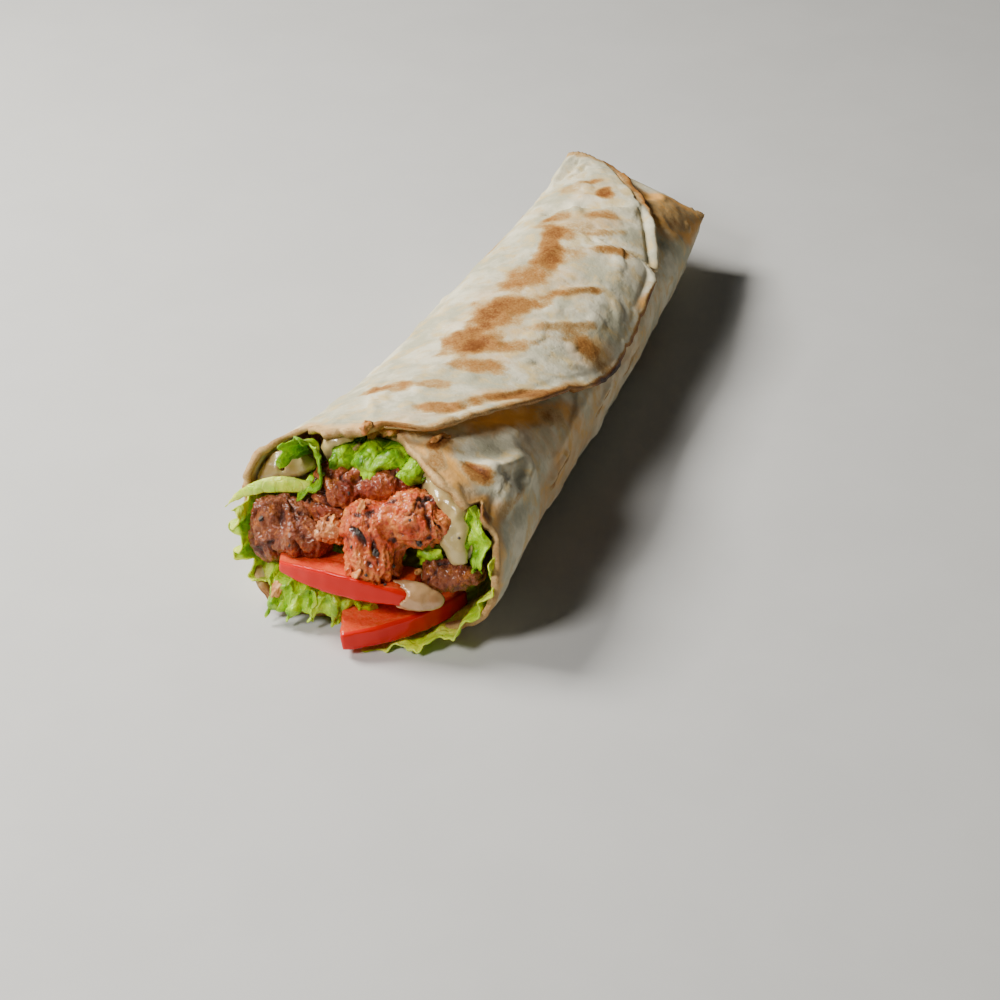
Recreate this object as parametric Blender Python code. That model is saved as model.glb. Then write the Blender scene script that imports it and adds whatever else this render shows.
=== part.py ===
"""Doner kebab rolled in thin flatbread, lying on its flat underside with the open mouth at -Y.

One round sheet of bread is rolled one and a third turns into a tube that is pinched flat at its
far end. Meat, lettuce, tomato and sauce fill it and show at the mouth.

Sizes are millimetres and degrees. finish() turns every piece into metres. The origin is on the
ground under the middle of the roll, +Y runs to the pinched end and +Z is up.
"""
import math

import bmesh
import bpy
import numpy as np
from mathutils import Matrix, Vector, noise

MM = 0.001
GAP = 0.35

# Bread: one sheet, its spiral, and how far the fold beside the mouth stands off.
PITCH = 2.0
WALL_SHARE = 0.8
WAVE_HEIGHT = 0.7
WAVE_LENGTH = 27.0
SQUARENESS = 2.15
LEVEL_ANGLE = 200.0
OUTER_TURN = 380.0
INNER_END = 480.0
LIFT_REACH = 48.0
LIP_FLARE = 2.4

# Fillings
LEAF_THICKNESS = 0.9
TOMATO_THICKNESS = 8.0
CORE_DEPTH = 5.2
BED_TOP = 13.0
CORE_FRONT = -96.0

# Section of the roll: y, centre x, centre z, half width, rise, drop, tilt of the left side upward.
SECTIONS = (
    (-112.0, 3.3, 26.0, 43.0, 29.0, 29.0, 0.0),
    (-92.0, 3.4, 25.0, 41.5, 28.0, 28.0, 0.0),
    (-60.0, 4.0, 22.0, 38.0, 27.0, 25.0, 0.0),
    (-20.0, 4.4, 21.0, 36.2, 23.8, 24.0, 0.0),
    (20.0, 4.2, 21.0, 34.8, 22.7, 24.0, 0.0),
    (60.0, 3.7, 21.0, 32.2, 22.0, 24.0, 1.0),
    (90.0, 3.8, 22.0, 30.0, 19.6, 23.5, 6.0),
    (108.0, 3.7, 26.5, 28.4, 11.8, 17.0, 13.0),
    (120.0, 3.6, 29.5, 27.8, 3.6, 3.6, 17.0),
)
# The sheet's outer edge crosses the top: y, winding angle.
BORDER = (
    (-98.0, 91.0), (-95.5, 79.0), (-90.0, 73.0), (-81.0, 66.5), (-70.0, 59.5), (-61.0, 53.5),
    (-50.0, 47.0), (-40.0, 42.0), (-28.0, 33.5), (-16.0, 24.0), (-6.0, 18.5), (3.0, 16.5),
    (12.0, 17.5), (21.0, 19.5), (34.0, 23.0), (48.0, 26.5), (57.0, 31.0), (66.0, 39.0),
    (73.0, 47.0), (80.0, 55.0), (89.0, 68.0), (103.0, 89.0), (112.0, 101.0), (121.0, 113.0),
)
# How far the outer edge stands off the layer below it: y, height.
EDGE_LIFT = ((-106.0, 1.2), (-98.0, 3.2), (-75.0, 4.2), (-50.0, 4.0), (-30.0, 2.6), (-8.0, 0.0))
# The mouth's rim: winding angle, y.
RIM = (
    (90.0, -98.0), (100.0, -102.5), (112.0, -103.5), (126.0, -98.0), (135.0, -94.5), (142.0, -98.5),
    (149.0, -107.5), (157.0, -112.0), (166.0, -110.5), (190.0, -110.0), (205.0, -114.0),
    (220.0, -122.5), (233.0, -125.5), (247.0, -122.5), (270.0, -118.5), (300.0, -117.5),
    (330.0, -118.5), (360.0, -119.0), (368.0, -117.0), (380.0, -113.0), (394.0, -111.5),
    (399.0, -107.0), (404.0, -112.8), (416.0, -112.0), (428.0, -108.0), (437.0, -102.5),
    (452.0, -95.0), (480.0, -95.5),
)
# The pinched end's rim: winding angle, y.
END_RIM = (
    (100.0, 119.5), (150.0, 121.0), (180.0, 120.0), (270.0, 119.0), (350.0, 120.5),
    (372.0, 121.8), (400.0, 120.0), (440.0, 118.0), (480.0, 118.0),
)


def curve(rows):
    """Smooth line through the rows that never swings past them; the first value is the abscissa."""
    table = np.array(rows, float)
    xs, values = table[:, 0], table[:, 1:]
    steps = np.diff(values, axis=0) / np.diff(xs)[:, None]
    product = steps[1:] * steps[:-1]
    total = np.where(np.abs(steps[1:] + steps[:-1]) < 1e-9, 1.0, steps[1:] + steps[:-1])
    inner = np.where(product > 0.0, 2.0 * product / total, 0.0)
    slopes = np.vstack([steps[:1], inner, steps[-1:]])

    def value(x):
        x = np.clip(np.asarray(x, float), xs[0], xs[-1])
        i = np.clip(np.searchsorted(xs, x, side="right") - 1, 0, len(xs) - 2)
        width = xs[i + 1] - xs[i]
        t = ((x - xs[i]) / width)[..., None]
        width = width[..., None]
        rise = values[i + 1] - values[i]
        smooth = t * t * (3.0 - 2.0 * t)
        ease = t * (1.0 - t) * width
        return values[i] + rise * smooth + ease * ((1.0 - t) * slopes[i] - t * slopes[i + 1])

    return value


section_at = curve(SECTIONS)
border_at = curve(BORDER)
lift_at = curve(EDGE_LIFT)
rim_at = curve(RIM)
end_rim_at = curve(END_RIM)


def wave(theta, y):
    """Soft dents of the roll, the same for every layer."""
    height = np.empty(np.broadcast(theta, y).shape)
    for index, (angle, along) in enumerate(np.broadcast(theta, y)):
        turn = math.radians(angle)
        spot = Vector((1.3 * math.cos(turn), 1.3 * math.sin(turn), along / WAVE_LENGTH))
        height.flat[index] = noise.noise(spot)
    return height * WAVE_HEIGHT


def body(y, theta, rho, floor=0.0):
    """Point at rho outside the roll's surface; theta is 0 at the right side and 90 on top."""
    y, theta, rho, floor = np.broadcast_arrays(*(np.asarray(v, float) for v in (y, theta, rho, floor)))
    cx, cz, half, rise, drop, tilt = np.moveaxis(section_at(y), -1, 0)
    c, s = np.cos(np.radians(theta)), np.sin(np.radians(theta))
    power = 2.0 / SQUARENESS
    height = np.where(s >= 0.0, rise, drop)
    across = (half + rho) * np.sign(c) * np.abs(c) ** power
    up = (height + rho) * np.sign(s) * np.abs(s) ** power
    lean = np.radians(tilt)
    x = cx + across * np.cos(lean) + up * np.sin(lean)
    z = cz - across * np.sin(lean) + up * np.cos(lean)
    return np.stack([x, y, np.maximum(z, floor)], axis=-1)


def bread_columns():
    """Winding angles of the sheet's columns, closer together at the notch beside the mouth."""
    return np.concatenate([
        np.linspace(0.0, 150.0, 13, endpoint=False),
        np.linspace(150.0, 384.0, 19, endpoint=False),
        np.linspace(384.0, 424.0, 8, endpoint=False),
        np.linspace(424.0, INNER_END, 6),
    ])


def bread_rows():
    """Nominal y of the sheet's rows, closer together at both ends."""
    return np.concatenate([
        np.linspace(-112.0, -84.0, 6, endpoint=False),
        np.linspace(-84.0, 82.0, 12, endpoint=False),
        np.linspace(82.0, 122.0, 8),
    ])


def slab(columns, rows):
    """Flat sheet with a triangle pattern shared by both faces, and each vertex's place in it."""
    bm = bmesh.new()
    bmesh.ops.create_grid(bm, x_segments=len(columns) - 1, y_segments=len(rows) - 1, size=1.0)
    bmesh.ops.triangulate(bm, faces=bm.faces[:])
    bmesh.ops.solidify(bm, geom=bm.faces[:], thickness=0.1)
    flat = np.array([vertex.co[:] for vertex in bm.verts])
    column = np.rint((flat[:, 0] + 1.0) / 2.0 * (len(columns) - 1)).astype(int)
    row = np.rint((flat[:, 1] + 1.0) / 2.0 * (len(rows) - 1)).astype(int)
    inner = flat[:, 2] < flat[:, 2].mean()
    return bm, np.asarray(columns)[column], np.asarray(rows)[row], inner


def face_out(bm):
    bmesh.ops.recalc_face_normals(bm, faces=bm.faces[:])
    if bm.calc_volume(signed=True) < 0.0:
        bmesh.ops.reverse_faces(bm, faces=bm.faces[:])


def place(bm, points):
    for vertex, point in zip(bm.verts, points):
        vertex.co = point
    face_out(bm)


def wind(column, row, grow):
    """Winding angle and y of the sheet's vertices, with its edges drawn out by grow."""
    fan = np.interp(row, (-80.0, 60.0), (146.0, 200.0))

    def spread(border):
        return np.where(column < fan, border + (fan - border) * column / fan, column)

    front = np.clip((-72.0 - row) / 40.0, 0.0, 1.0)
    back = np.clip((row - 94.0) / 28.0, 0.0, 1.0)
    y = row + (rim_at(spread(BORDER[0][1]))[:, 0] - grow + 112.0) * front
    y = y + (end_rim_at(spread(BORDER[-1][1]))[:, 0] + grow - 122.0) * back
    return spread(border_at(y)[:, 0] - grow), y


def bread_surface(angle, y):
    """Height of the sheet's outer face over the roll's surface, and the pitch of its layers."""
    pitch = PITCH * (1.0 - 0.2 * np.clip((y - 92.0) / 30.0, 0.0, 1.0))
    rho = pitch * (LEVEL_ANGLE - angle) / 360.0
    reach = np.clip((angle - border_at(y)[:, 0]) / LIFT_REACH, 0.0, 1.0)
    rho = rho + lift_at(y)[:, 0] * (1.0 - reach) ** 2
    flare = np.exp(-((angle - 143.0) / 16.0) ** 2) * np.clip((-88.0 - y) / 18.0, 0.0, 1.0)
    return rho + LIP_FLARE * flare, pitch


def bread_mesh(grow=0.0):
    """The rolled sheet; grow thickens it on every side to cut its neighbours clear of it."""
    bm, column, row, inner = slab(bread_columns(), bread_rows())
    angle, y = wind(column, row, grow)
    rho, pitch = bread_surface(angle, y)
    wall = WALL_SHARE * pitch
    rho = rho + wave(angle, y) * np.clip((124.0 - y) / 30.0, 0.15, 1.0)
    rho = rho + np.where(inner, -wall - grow, grow)
    floor = np.where(inner, wall + grow, -grow) + np.where(angle > OUTER_TURN, PITCH, 0.0)
    place(bm, body(y, angle, rho, floor))
    return bm


def apply_modifiers(obj):
    """Evaluated copy of the object's mesh, in place of its modifiers."""
    graph = bpy.context.evaluated_depsgraph_get()
    mesh = bpy.data.meshes.new_from_object(obj.evaluated_get(graph))
    old = obj.data
    obj.modifiers.clear()
    obj.data = mesh
    bpy.data.meshes.remove(old)


def volume_of(verts):
    """Volume inside the faces round the vertices of one closed body."""
    faces = {face for vertex in verts for face in vertex.link_faces}
    return sum(face.calc_center_median().dot(face.normal) * face.calc_area() for face in faces)


def largest_body(bm):
    """Deletes all but the largest of the mesh's separate bodies."""
    unseen = set(bm.verts)
    bodies = []
    while unseen:
        found = {unseen.pop()}
        front = list(found)
        while front:
            vertex = front.pop()
            for edge in vertex.link_edges:
                other = edge.other_vert(vertex)
                if other in unseen:
                    unseen.discard(other)
                    found.add(other)
                    front.append(other)
        bodies.append(found)
    bodies.sort(key=volume_of)
    for loose in bodies[:-1]:
        bmesh.ops.delete(bm, geom=list(loose), context="VERTS")


def material(name, colour, roughness):
    shade = bpy.data.materials.new(name)
    shade.use_nodes = True
    shader = shade.node_tree.nodes["Principled BSDF"]
    shader.inputs["Base Color"].default_value = (*colour, 1.0)
    shader.inputs["Roughness"].default_value = roughness
    shader.inputs["Metallic"].default_value = 0.0
    shade.diffuse_color = (*colour, 1.0)
    return shade


def finish(name, bm, shade, group):
    """Object of the mesh, scaled from millimetres, in the group's collection."""
    bmesh.ops.scale(bm, vec=(MM, MM, MM), verts=bm.verts[:])
    mesh = bpy.data.meshes.new(name)
    bm.to_mesh(mesh)
    bm.free()
    mesh.materials.append(shade)
    mesh.shade_smooth()
    obj = bpy.data.objects.new(name, mesh)
    group.objects.link(obj)
    return obj


def carve(obj, cutters):
    """Cuts the cutters from the object and keeps its largest body."""
    for cutter in cutters:
        cut = obj.modifiers.new("clear of " + cutter.name, "BOOLEAN")
        cut.operation = "DIFFERENCE"
        cut.object = cutter
    apply_modifiers(obj)
    bm = bmesh.new()
    bm.from_mesh(obj.data)
    largest_body(bm)
    bm.to_mesh(obj.data)
    bm.free()
    obj.data.shade_smooth()


def swollen(obj, group):
    """Hidden copy of the object, grown by the gap, that cuts its neighbours clear of it."""
    mesh = obj.data.copy()
    bm = bmesh.new()
    bm.from_mesh(mesh)
    bm.normal_update()
    moved = [vertex.co + vertex.normal * GAP * MM for vertex in bm.verts]
    for vertex, point in zip(bm.verts, moved):
        vertex.co = point
    bm.to_mesh(mesh)
    bm.free()
    cutter = bpy.data.objects.new(obj.name + "_clearance", mesh)
    hide(cutter, group)
    return cutter


def hide(obj, group):
    obj.hide_render = True
    obj.display_type = "WIRE"
    group.objects.link(obj)


def sheet(columns, rows, surface, thickness=LEAF_THICKNESS):
    """Thin leaf over a surface that gives a point for each pair of shares across and along."""
    bm = bmesh.new()
    bmesh.ops.create_grid(bm, x_segments=columns, y_segments=rows, size=0.5)
    bmesh.ops.triangulate(bm, faces=bm.faces[:])
    for vertex in bm.verts:
        vertex.co = surface(vertex.co.x + 0.5, vertex.co.y + 0.5)
    bm.normal_update()
    bmesh.ops.solidify(bm, geom=bm.faces[:], thickness=thickness)
    face_out(bm)
    return bm


def on_body(y, theta, rho):
    return Vector(body(y, theta, rho))


def mix(a, b, share):
    return a + (b - a) * share


def bezier(points, share):
    """Point on the curve of a few control points."""
    row = [Vector(point) for point in points]
    while len(row) > 1:
        row = [a.lerp(b, share) for a, b in zip(row, row[1:])]
    return row[0]


def lobe_exit(direction, lobes):
    """How far a ray from the origin runs inside the ellipsoids, the corners between them softened."""
    total = 0.0
    for centre, radii in lobes:
        d = Vector([direction[i] / radii[i] for i in range(3)])
        c = Vector([centre[i] / radii[i] for i in range(3)])
        a, b, k = d.dot(d), -2.0 * d.dot(c), c.dot(c) - 1.0
        exit_at = (-b + math.sqrt(max(b * b - 4.0 * a * k, 0.0))) / (2.0 * a)
        total += max(exit_at, 0.1) ** 8
    return total ** 0.125


def lump(centre, lobes, detail, rough, seed, grain=5.0):
    """Solid round one point: ellipsoid lobes joined, with crags of the given height."""
    bm = bmesh.new()
    bmesh.ops.create_icosphere(bm, subdivisions=detail, radius=1.0)
    middle = Vector(centre)
    for vertex in bm.verts:
        direction = vertex.co.normalized()
        length = lobe_exit(direction, lobes)
        spot = direction * length / grain + Vector((seed * 7.3, seed * 3.1, seed * 1.7))
        crag = noise.noise(spot) + 0.5 * noise.noise(spot * 2.1)
        vertex.co = middle + direction * (length + rough * crag)
    return bm


def swept(path, radii, flat, segments=10, rings=9):
    """Round body drawn along a curve of control points, its radius read from control values."""
    bm = bmesh.new()
    bmesh.ops.create_uvsphere(bm, u_segments=segments, v_segments=rings, radius=1.0)
    for vertex in bm.verts:
        share = 0.5 + 0.5 * vertex.co.z
        ring = math.sqrt(max(1.0 - vertex.co.z ** 2, 0.0))
        angle = math.atan2(vertex.co.y, vertex.co.x)
        ahead = bezier(path, min(share + 0.02, 1.0)) - bezier(path, max(share - 0.02, 0.0))
        side = ahead.cross(Vector((0.0, -1.0, 0.3))).normalized()
        out = side.cross(ahead).normalized()
        radius = bezier([(value, 0.0, 0.0) for value in radii], share).x
        reach = radius * ring ** 0.6
        vertex.co = bezier(path, share) + side * math.cos(angle) * reach
        vertex.co += out * math.sin(angle) * reach * flat
    face_out(bm)
    return bm


def tomato_slice(centre, radius, thickness, thin, roll, turn, cuts):
    """Part of a round slice: a disc cut by upright planes, each a point and its outward normal.

    The share given by thin is taken off its thickness towards both ends.
    """
    bm = bmesh.new()
    bmesh.ops.create_cone(bm, cap_ends=True, segments=72, radius1=radius, radius2=radius, depth=thickness)
    for point, normal in cuts:
        found = bm.verts[:] + bm.edges[:] + bm.faces[:]
        cut = bmesh.ops.bisect_plane(bm, geom=found, plane_co=point, plane_no=normal, clear_outer=True)
        edges = [item for item in cut["geom_cut"] if isinstance(item, bmesh.types.BMEdge)]
        bmesh.ops.edgeloop_fill(bm, edges=edges)
    half_length = max(vertex.co.x for vertex in bm.verts)
    for vertex in bm.verts:
        if vertex.co.z > 0.0:
            vertex.co.z -= thickness * thin * (vertex.co.x / half_length) ** 2
    sharp = [edge for edge in bm.edges if edge.calc_face_angle(0.0) > math.radians(40.0)]
    bmesh.ops.bevel(bm, geom=sharp, offset=0.7, segments=2, affect="EDGES", profile=0.5)
    face_out(bm)
    spin = Matrix.Rotation(math.radians(turn), 4, "Z")
    tip = Matrix.Rotation(math.radians(roll), 4, "Y")
    bmesh.ops.transform(bm, matrix=Matrix.Translation(centre) @ spin @ tip, verts=bm.verts[:])
    return bm


def core(rho, y_front, y_back, lower, upper):
    """Mass that fills the roll between two heights, from behind the mouth to the pinched end."""
    bm = bmesh.new()
    bmesh.ops.create_uvsphere(bm, u_segments=16, v_segments=12, radius=1.0)
    for vertex in bm.verts:
        y = mix(y_front, y_back, 0.5 + 0.5 * math.copysign(abs(vertex.co.z) ** 1.4, vertex.co.z))
        ring = math.sqrt(max(1.0 - vertex.co.z ** 2, 0.0)) ** 0.25
        theta = math.degrees(math.atan2(vertex.co.y, vertex.co.x))
        _, cx, cz = [float(v) for v in (0.0, *section_at(y)[:2])]
        middle = Vector((cx, y, cz))
        vertex.co = middle.lerp(Vector(body(y, theta, -rho, rho - 1.5)), ring)
    for height, side in ((lower, -1.0), (upper, 1.0)):
        if height is None:
            continue
        found = bm.verts[:] + bm.edges[:] + bm.faces[:]
        cut = bmesh.ops.bisect_plane(
            bm, geom=found, plane_co=(0.0, 0.0, height), plane_no=(0.0, 0.0, side), clear_outer=True
        )
        edges = [item for item in cut["geom_cut"] if isinstance(item, bmesh.types.BMEdge)]
        bmesh.ops.edgeloop_fill(bm, edges=edges)
    face_out(bm)
    return bm


def lettuce_left(s, t):
    """Leaf along the left wall that stands out of the mouth."""
    theta = mix(172.0, 232.0, s)
    reach = 28.5 + 1.6 * math.sin(s * 15.0 + 0.6)
    ruffle = 1.1 * t * t * math.sin(s * 21.0 + 2.0 * t)
    return on_body(-92.0 - reach * t, theta, -3.7 + ruffle + 1.6 * t ** 3)


def lettuce_side(s, t):
    """Pale leaf under the right wall, its edge past the rim down to the ground."""
    theta = mix(-84.0, 12.0, s)
    front = -133.0 + 13.0 * min(s * 1.5, 1.0) + 1.2 * math.sin(s * 23.0)
    ruffle = 0.8 * t * t * math.sin(s * 31.0)
    return on_body(mix(-92.0, front, t), theta, -3.3 + ruffle + 1.0 * t)


def lettuce_frill(s, t):
    """Ruffled leaf that comes out under the left tomato slice and hangs to the ground."""
    hang = max(t - 0.5, 0.0) * 2.0
    fold = math.sin(s * 19.0 + 0.8) * min(t * 1.6, 1.0)
    x = mix(-22.5, 8.5, s) + 1.2 * math.cos(s * 19.0) * hang
    y = -100.0 - 27.0 * min(t * 2.0, 1.0) - 3.0 * hang + 2.3 * fold * hang + 5.0 * s * s * t
    z = 12.4 - 8.5 * hang ** 1.2 + 1.0 * fold
    return Vector((x, y, z))


def lettuce_top(s, t):
    """Folded leaf that hangs from the top of the mouth."""
    theta = mix(112.0, 64.0, s)
    hang = max(t - 0.5, 0.0) / 0.5
    y = -86.0 - 21.5 * min(t / 0.75, 1.0) - 2.5 * math.sin(s * 9.0) * t
    droop = 5.0 + 2.2 * math.sin(s * 8.0 - 0.5)
    rho = -4.0 - droop * hang ** 1.2 + 0.9 * t * math.sin(s * 26.0)
    return on_body(y, theta, rho)


def lettuce_curl(s, t):
    """Leaf bent round in an arch at the upper left of the mouth, sloping down inward."""
    angle = math.radians(mix(200.0, -58.0, s))
    radius = (8.8 + 1.4 * s + 0.8 * math.sin(s * 24.0) * t) * (0.74 + 0.26 * t)
    front = Vector((-19.0 + radius * math.cos(angle), -111.0, 43.6 + radius * math.sin(angle)))
    front.y += 1.2 * math.sin(s * 17.0) - 2.0 * s
    return front + Vector((-3.5, 14.0, -9.5)) * (1.0 - t)


def lettuce_right(s, t):
    """Small leaf that hangs out over the rim beside the notch in the bread."""
    middle = Vector((34.5, -110.5, 43.5)).lerp(Vector((38.0, -118.0, 27.5)), t)
    width = 2.6 + 6.8 * math.sin(math.pi * min(t * 0.95, 1.0)) ** 1.2
    across = Vector((0.94, -0.3, 0.12)) * width * (s - 0.35)
    return middle + across + Vector((0.0, -1.0, 0.3)) * 0.7 * math.sin(t * 12.0 + s * 3.0)


def lettuce_inner(s, t):
    """Scrap of leaf between the meat pieces."""
    x = mix(19.5, 28.0, s)
    z = mix(31.0, 22.5, t) + 0.8 * math.sin(s * 8.0)
    y = -115.5 + 1.0 * math.sin(t * 9.0 + s * 4.0) - 1.5 * s
    return Vector((x, y, z))


LEAVES = (
    ("lettuce_left", lettuce_left, 11, 5),
    ("lettuce_side", lettuce_side, 14, 4),
    ("lettuce_frill", lettuce_frill, 18, 7),
    ("lettuce_top", lettuce_top, 13, 6),
    ("lettuce_curl", lettuce_curl, 15, 4),
    ("lettuce_right", lettuce_right, 4, 8),
    ("lettuce_inner", lettuce_inner, 4, 4),
)
# Meat pieces: name, centre, lobes as (offset, radii), detail, crag height, seed.
MEATS = (
    ("meat_centre", (11.5, -115.5, 32.0), (
        ((7.0, 2.0, 5.5), (10.5, 7.5, 7.5)), ((-5.0, -2.0, 0.5), (9.5, 7.0, 8.0)),
        ((-3.5, -6.0, -8.5), (8.0, 7.0, 9.5)),
    ), 3, 1.0, 1),
    ("meat_upper", (-1.0, -105.5, 39.0), (
        ((-7.0, -1.5, -2.0), (10.5, 7.5, 8.5)), ((7.0, 0.0, 2.0), (10.0, 7.0, 6.8)),
    ), 3, 1.1, 2),
    ("meat_inner", (-9.5, -111.0, 31.5), (((0.0, 0.0, 0.0), (8.0, 5.5, 5.5)),), 3, 1.0, 6),
    ("meat_left", (-22.0, -113.5, 24.0), (
        ((-5.5, -2.5, -2.5), (7.0, 7.0, 8.0)), ((6.0, -2.5, 0.5), (9.0, 8.5, 6.5)),
        ((-2.5, 0.0, 4.0), (9.5, 6.0, 5.5)),
    ), 3, 1.1, 3),
    ("meat_right", (31.0, -115.5, 23.4), (
        ((-3.0, -1.0, -0.6), (6.2, 5.5, 4.8)), ((3.8, 0.0, 0.9), (6.0, 5.2, 4.6)),
    ), 3, 0.6, 4),
    ("meat_nugget", (-6.6, -118.5, 29.8), (((0.0, 0.0, 0.0), (4.6, 4.0, 4.2)),), 3, 0.6, 5),
)
# Bodies drawn along a path: name, path, radii along it, flatness, whether it is sauce.
DRAWN = (
    ("sauce_right", ((14.5, -101.0, 47.0), (25.0, -105.0, 45.5), (30.5, -113.0, 38.0), (34.5, -117.0, 27.0)),
     (4.0, 7.5, 6.5, 5.5), 0.8, True),
    ("sauce_low", ((4.0, -123.5, 19.5), (16.0, -126.5, 19.0), (22.5, -127.5, 19.5), (31.0, -122.5, 18.0)),
     (1.2, 3.6, 6.6, 3.4), 0.7, True),
    ("sauce_left", ((-38.5, -107.0, 27.0), (-36.5, -105.0, 35.0), (-29.0, -103.0, 40.5), (-19.0, -101.0, 39.0)),
     (3.5, 6.0, 5.5, 3.5), 0.7, True),
    ("sauce_mid", ((-17.0, -98.0, 48.0), (-12.0, -99.0, 47.0), (-7.0, -102.5, 43.0)), (6.0, 8.5, 5.0), 0.9, True),
    ("lettuce_shred", ((-13.0, -109.0, 36.5), (-24.0, -116.5, 43.0), (-35.0, -117.0, 38.5),
                       (-42.0, -118.5, 28.8)), (2.6, 3.4, 1.8, 0.5), 0.45, False),
)


def build_tomatoes(shade, group):
    """Two part slices that stick out of the mouth, skin side forward."""
    left = tomato_slice(
        (1.5, -71.5, 20.8), 60.0, TOMATO_THICKNESS, 0.45, 1.0, 0.0,
        (((0.0, -43.0, 0.0), (0.0, 1.0, 0.0)), ((-21.5, -56.0, 0.0), (-0.93, -0.37, 0.0)),
         ((20.0, -56.0, 0.0), (1.0, 0.1, 0.0))),
    )
    right = tomato_slice(
        (-17.1, -89.1, 7.3), 53.0, TOMATO_THICKNESS - 1.0, 0.15, -5.2, 46.0,
        (((0.0, -36.0, 0.0), (0.0, 1.0, 0.0)), ((-20.2, -49.0, 0.0), (-0.91, 0.41, 0.0)),
         ((20.5, -49.0, 0.0), (1.0, 0.1, 0.0))),
    )
    return [
        finish("tomato_left", left, shade, group),
        finish("tomato_right", right, shade, group),
    ]


def build_all(group, helpers):
    bread_shade = material("bread_crust", (0.80, 0.69, 0.53), 0.75)
    lettuce_shade = material("lettuce_leaf", (0.36, 0.55, 0.07), 0.42)
    meat_shade = material("grilled_meat", (0.36, 0.11, 0.05), 0.48)
    tomato_shade = material("tomato_flesh", (0.70, 0.06, 0.02), 0.3)
    sauce_shade = material("pale_sauce", (0.74, 0.66, 0.48), 0.3)

    finish("bread", bread_mesh(), bread_shade, group)
    clearance = finish("bread_clearance", bread_mesh(GAP), bread_shade, helpers)
    clearance.hide_render = True
    clearance.display_type = "WIRE"
    cutters = [clearance]

    pieces = build_tomatoes(tomato_shade, group)
    for name, centre, lobes, detail, rough, seed in MEATS:
        pieces.append(finish(name, lump(centre, lobes, detail, rough, seed), meat_shade, group))
    for name, surface, columns, rows in LEAVES:
        pieces.append(finish(name, sheet(columns, rows, surface), lettuce_shade, group))
    for name, path, radii, flat, is_sauce in DRAWN:
        shade = sauce_shade if is_sauce else lettuce_shade
        pieces.append(finish(name, swept(path, radii, flat), shade, group))
    for piece in pieces:
        carve(piece, cutters)
        cutters.append(swollen(piece, helpers))

    finish("lettuce_bed", core(CORE_DEPTH, CORE_FRONT, 104.0, None, BED_TOP), lettuce_shade, group)
    finish("meat_filling", core(CORE_DEPTH, CORE_FRONT, 108.0, BED_TOP + GAP, None), meat_shade, group)


def main():
    for obj in list(bpy.data.objects):
        bpy.data.objects.remove(obj)
    group = bpy.data.collections.new("doner_kebab_wrap")
    helpers = bpy.data.collections.new("clearances")
    bpy.context.scene.collection.children.link(group)
    bpy.context.scene.collection.children.link(helpers)
    build_all(group, helpers)


main()
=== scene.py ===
"""Doner kebab in flatbread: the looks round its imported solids.

The sheet of bread is wound again from the same sections as its solid, fine enough to carry
blisters, creases and a rolled lip. Leaves are drawn as ruffled sheets, and meat, tomato and sauce
are reworked from copies of their solids. Sizes are in millimetres until a mesh is finished.
"""
import logging
import math
from collections.abc import Callable, Iterable
from dataclasses import dataclass, field
from enum import Enum

import bmesh
import bpy
import numpy as np
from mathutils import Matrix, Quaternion, Vector, bvhtree, noise


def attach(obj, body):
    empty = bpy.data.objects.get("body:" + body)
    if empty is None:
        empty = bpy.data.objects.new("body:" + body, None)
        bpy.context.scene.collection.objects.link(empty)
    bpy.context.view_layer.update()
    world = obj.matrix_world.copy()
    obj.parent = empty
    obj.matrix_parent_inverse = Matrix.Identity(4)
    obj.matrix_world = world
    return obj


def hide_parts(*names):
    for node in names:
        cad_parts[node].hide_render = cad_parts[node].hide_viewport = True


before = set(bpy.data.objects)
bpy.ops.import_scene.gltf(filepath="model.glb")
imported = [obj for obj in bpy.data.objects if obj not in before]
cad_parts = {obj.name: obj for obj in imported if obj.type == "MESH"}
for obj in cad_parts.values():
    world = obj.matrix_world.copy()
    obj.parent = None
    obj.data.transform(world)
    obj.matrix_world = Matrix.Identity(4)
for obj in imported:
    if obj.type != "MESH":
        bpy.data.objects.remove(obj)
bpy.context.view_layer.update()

MM = 0.001
WELD = 0.00002
log = logging.getLogger("wrap")

Colour = tuple[float, float, float]
Rows = tuple[tuple[float, ...], ...]
Surface = Callable[[float, float], Vector]
Place = tuple[float, float, float]
Runs = tuple[tuple[float, float, int], ...]
Socket = bpy.types.NodeSocket

# The roll's ends before their rims are drawn, its middle, and how square its section is.
MOUTH_Y, FAR_Y = -112.0, 122.0
ROLL_MIDDLE: Place = (4.0, 0.0, 22.0)
SQUARENESS = 2.15
# Where the Mix node keeps its share, its two colours and its result.
MIX_INPUTS, MIX_RESULT = (0, 6, 7), 2


class Food(Enum):
    """Kinds of food that the pieces are logged as."""

    BREAD = "bread"
    LETTUCE = "lettuce"
    MEAT = "meat"
    TOMATO = "tomato"
    SAUCE = "sauce"


# Tables hold millimetres and degrees; winding angles over 360 are the layer below the first turn.
# Section of the roll: y, centre x, centre z, half width, rise, drop, tilt of the left side upward.
SECTIONS: Rows = (
    (-112.0, 3.3, 26.0, 43.0, 29.0, 29.0, 0.0), (-92.0, 3.4, 25.0, 41.5, 28.0, 28.0, 0.0),
    (-60.0, 4.0, 22.0, 38.0, 27.0, 25.0, 0.0), (-20.0, 4.4, 21.0, 36.2, 23.8, 24.0, 0.0),
    (20.0, 4.2, 21.0, 34.8, 22.7, 24.0, 0.0), (60.0, 3.7, 21.0, 32.2, 22.0, 24.0, 1.0),
    (90.0, 3.8, 22.0, 30.0, 19.6, 23.5, 6.0), (108.0, 3.7, 26.5, 28.4, 11.8, 17.0, 13.0),
    (120.0, 3.6, 29.5, 27.8, 3.6, 3.6, 17.0),
)
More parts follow.
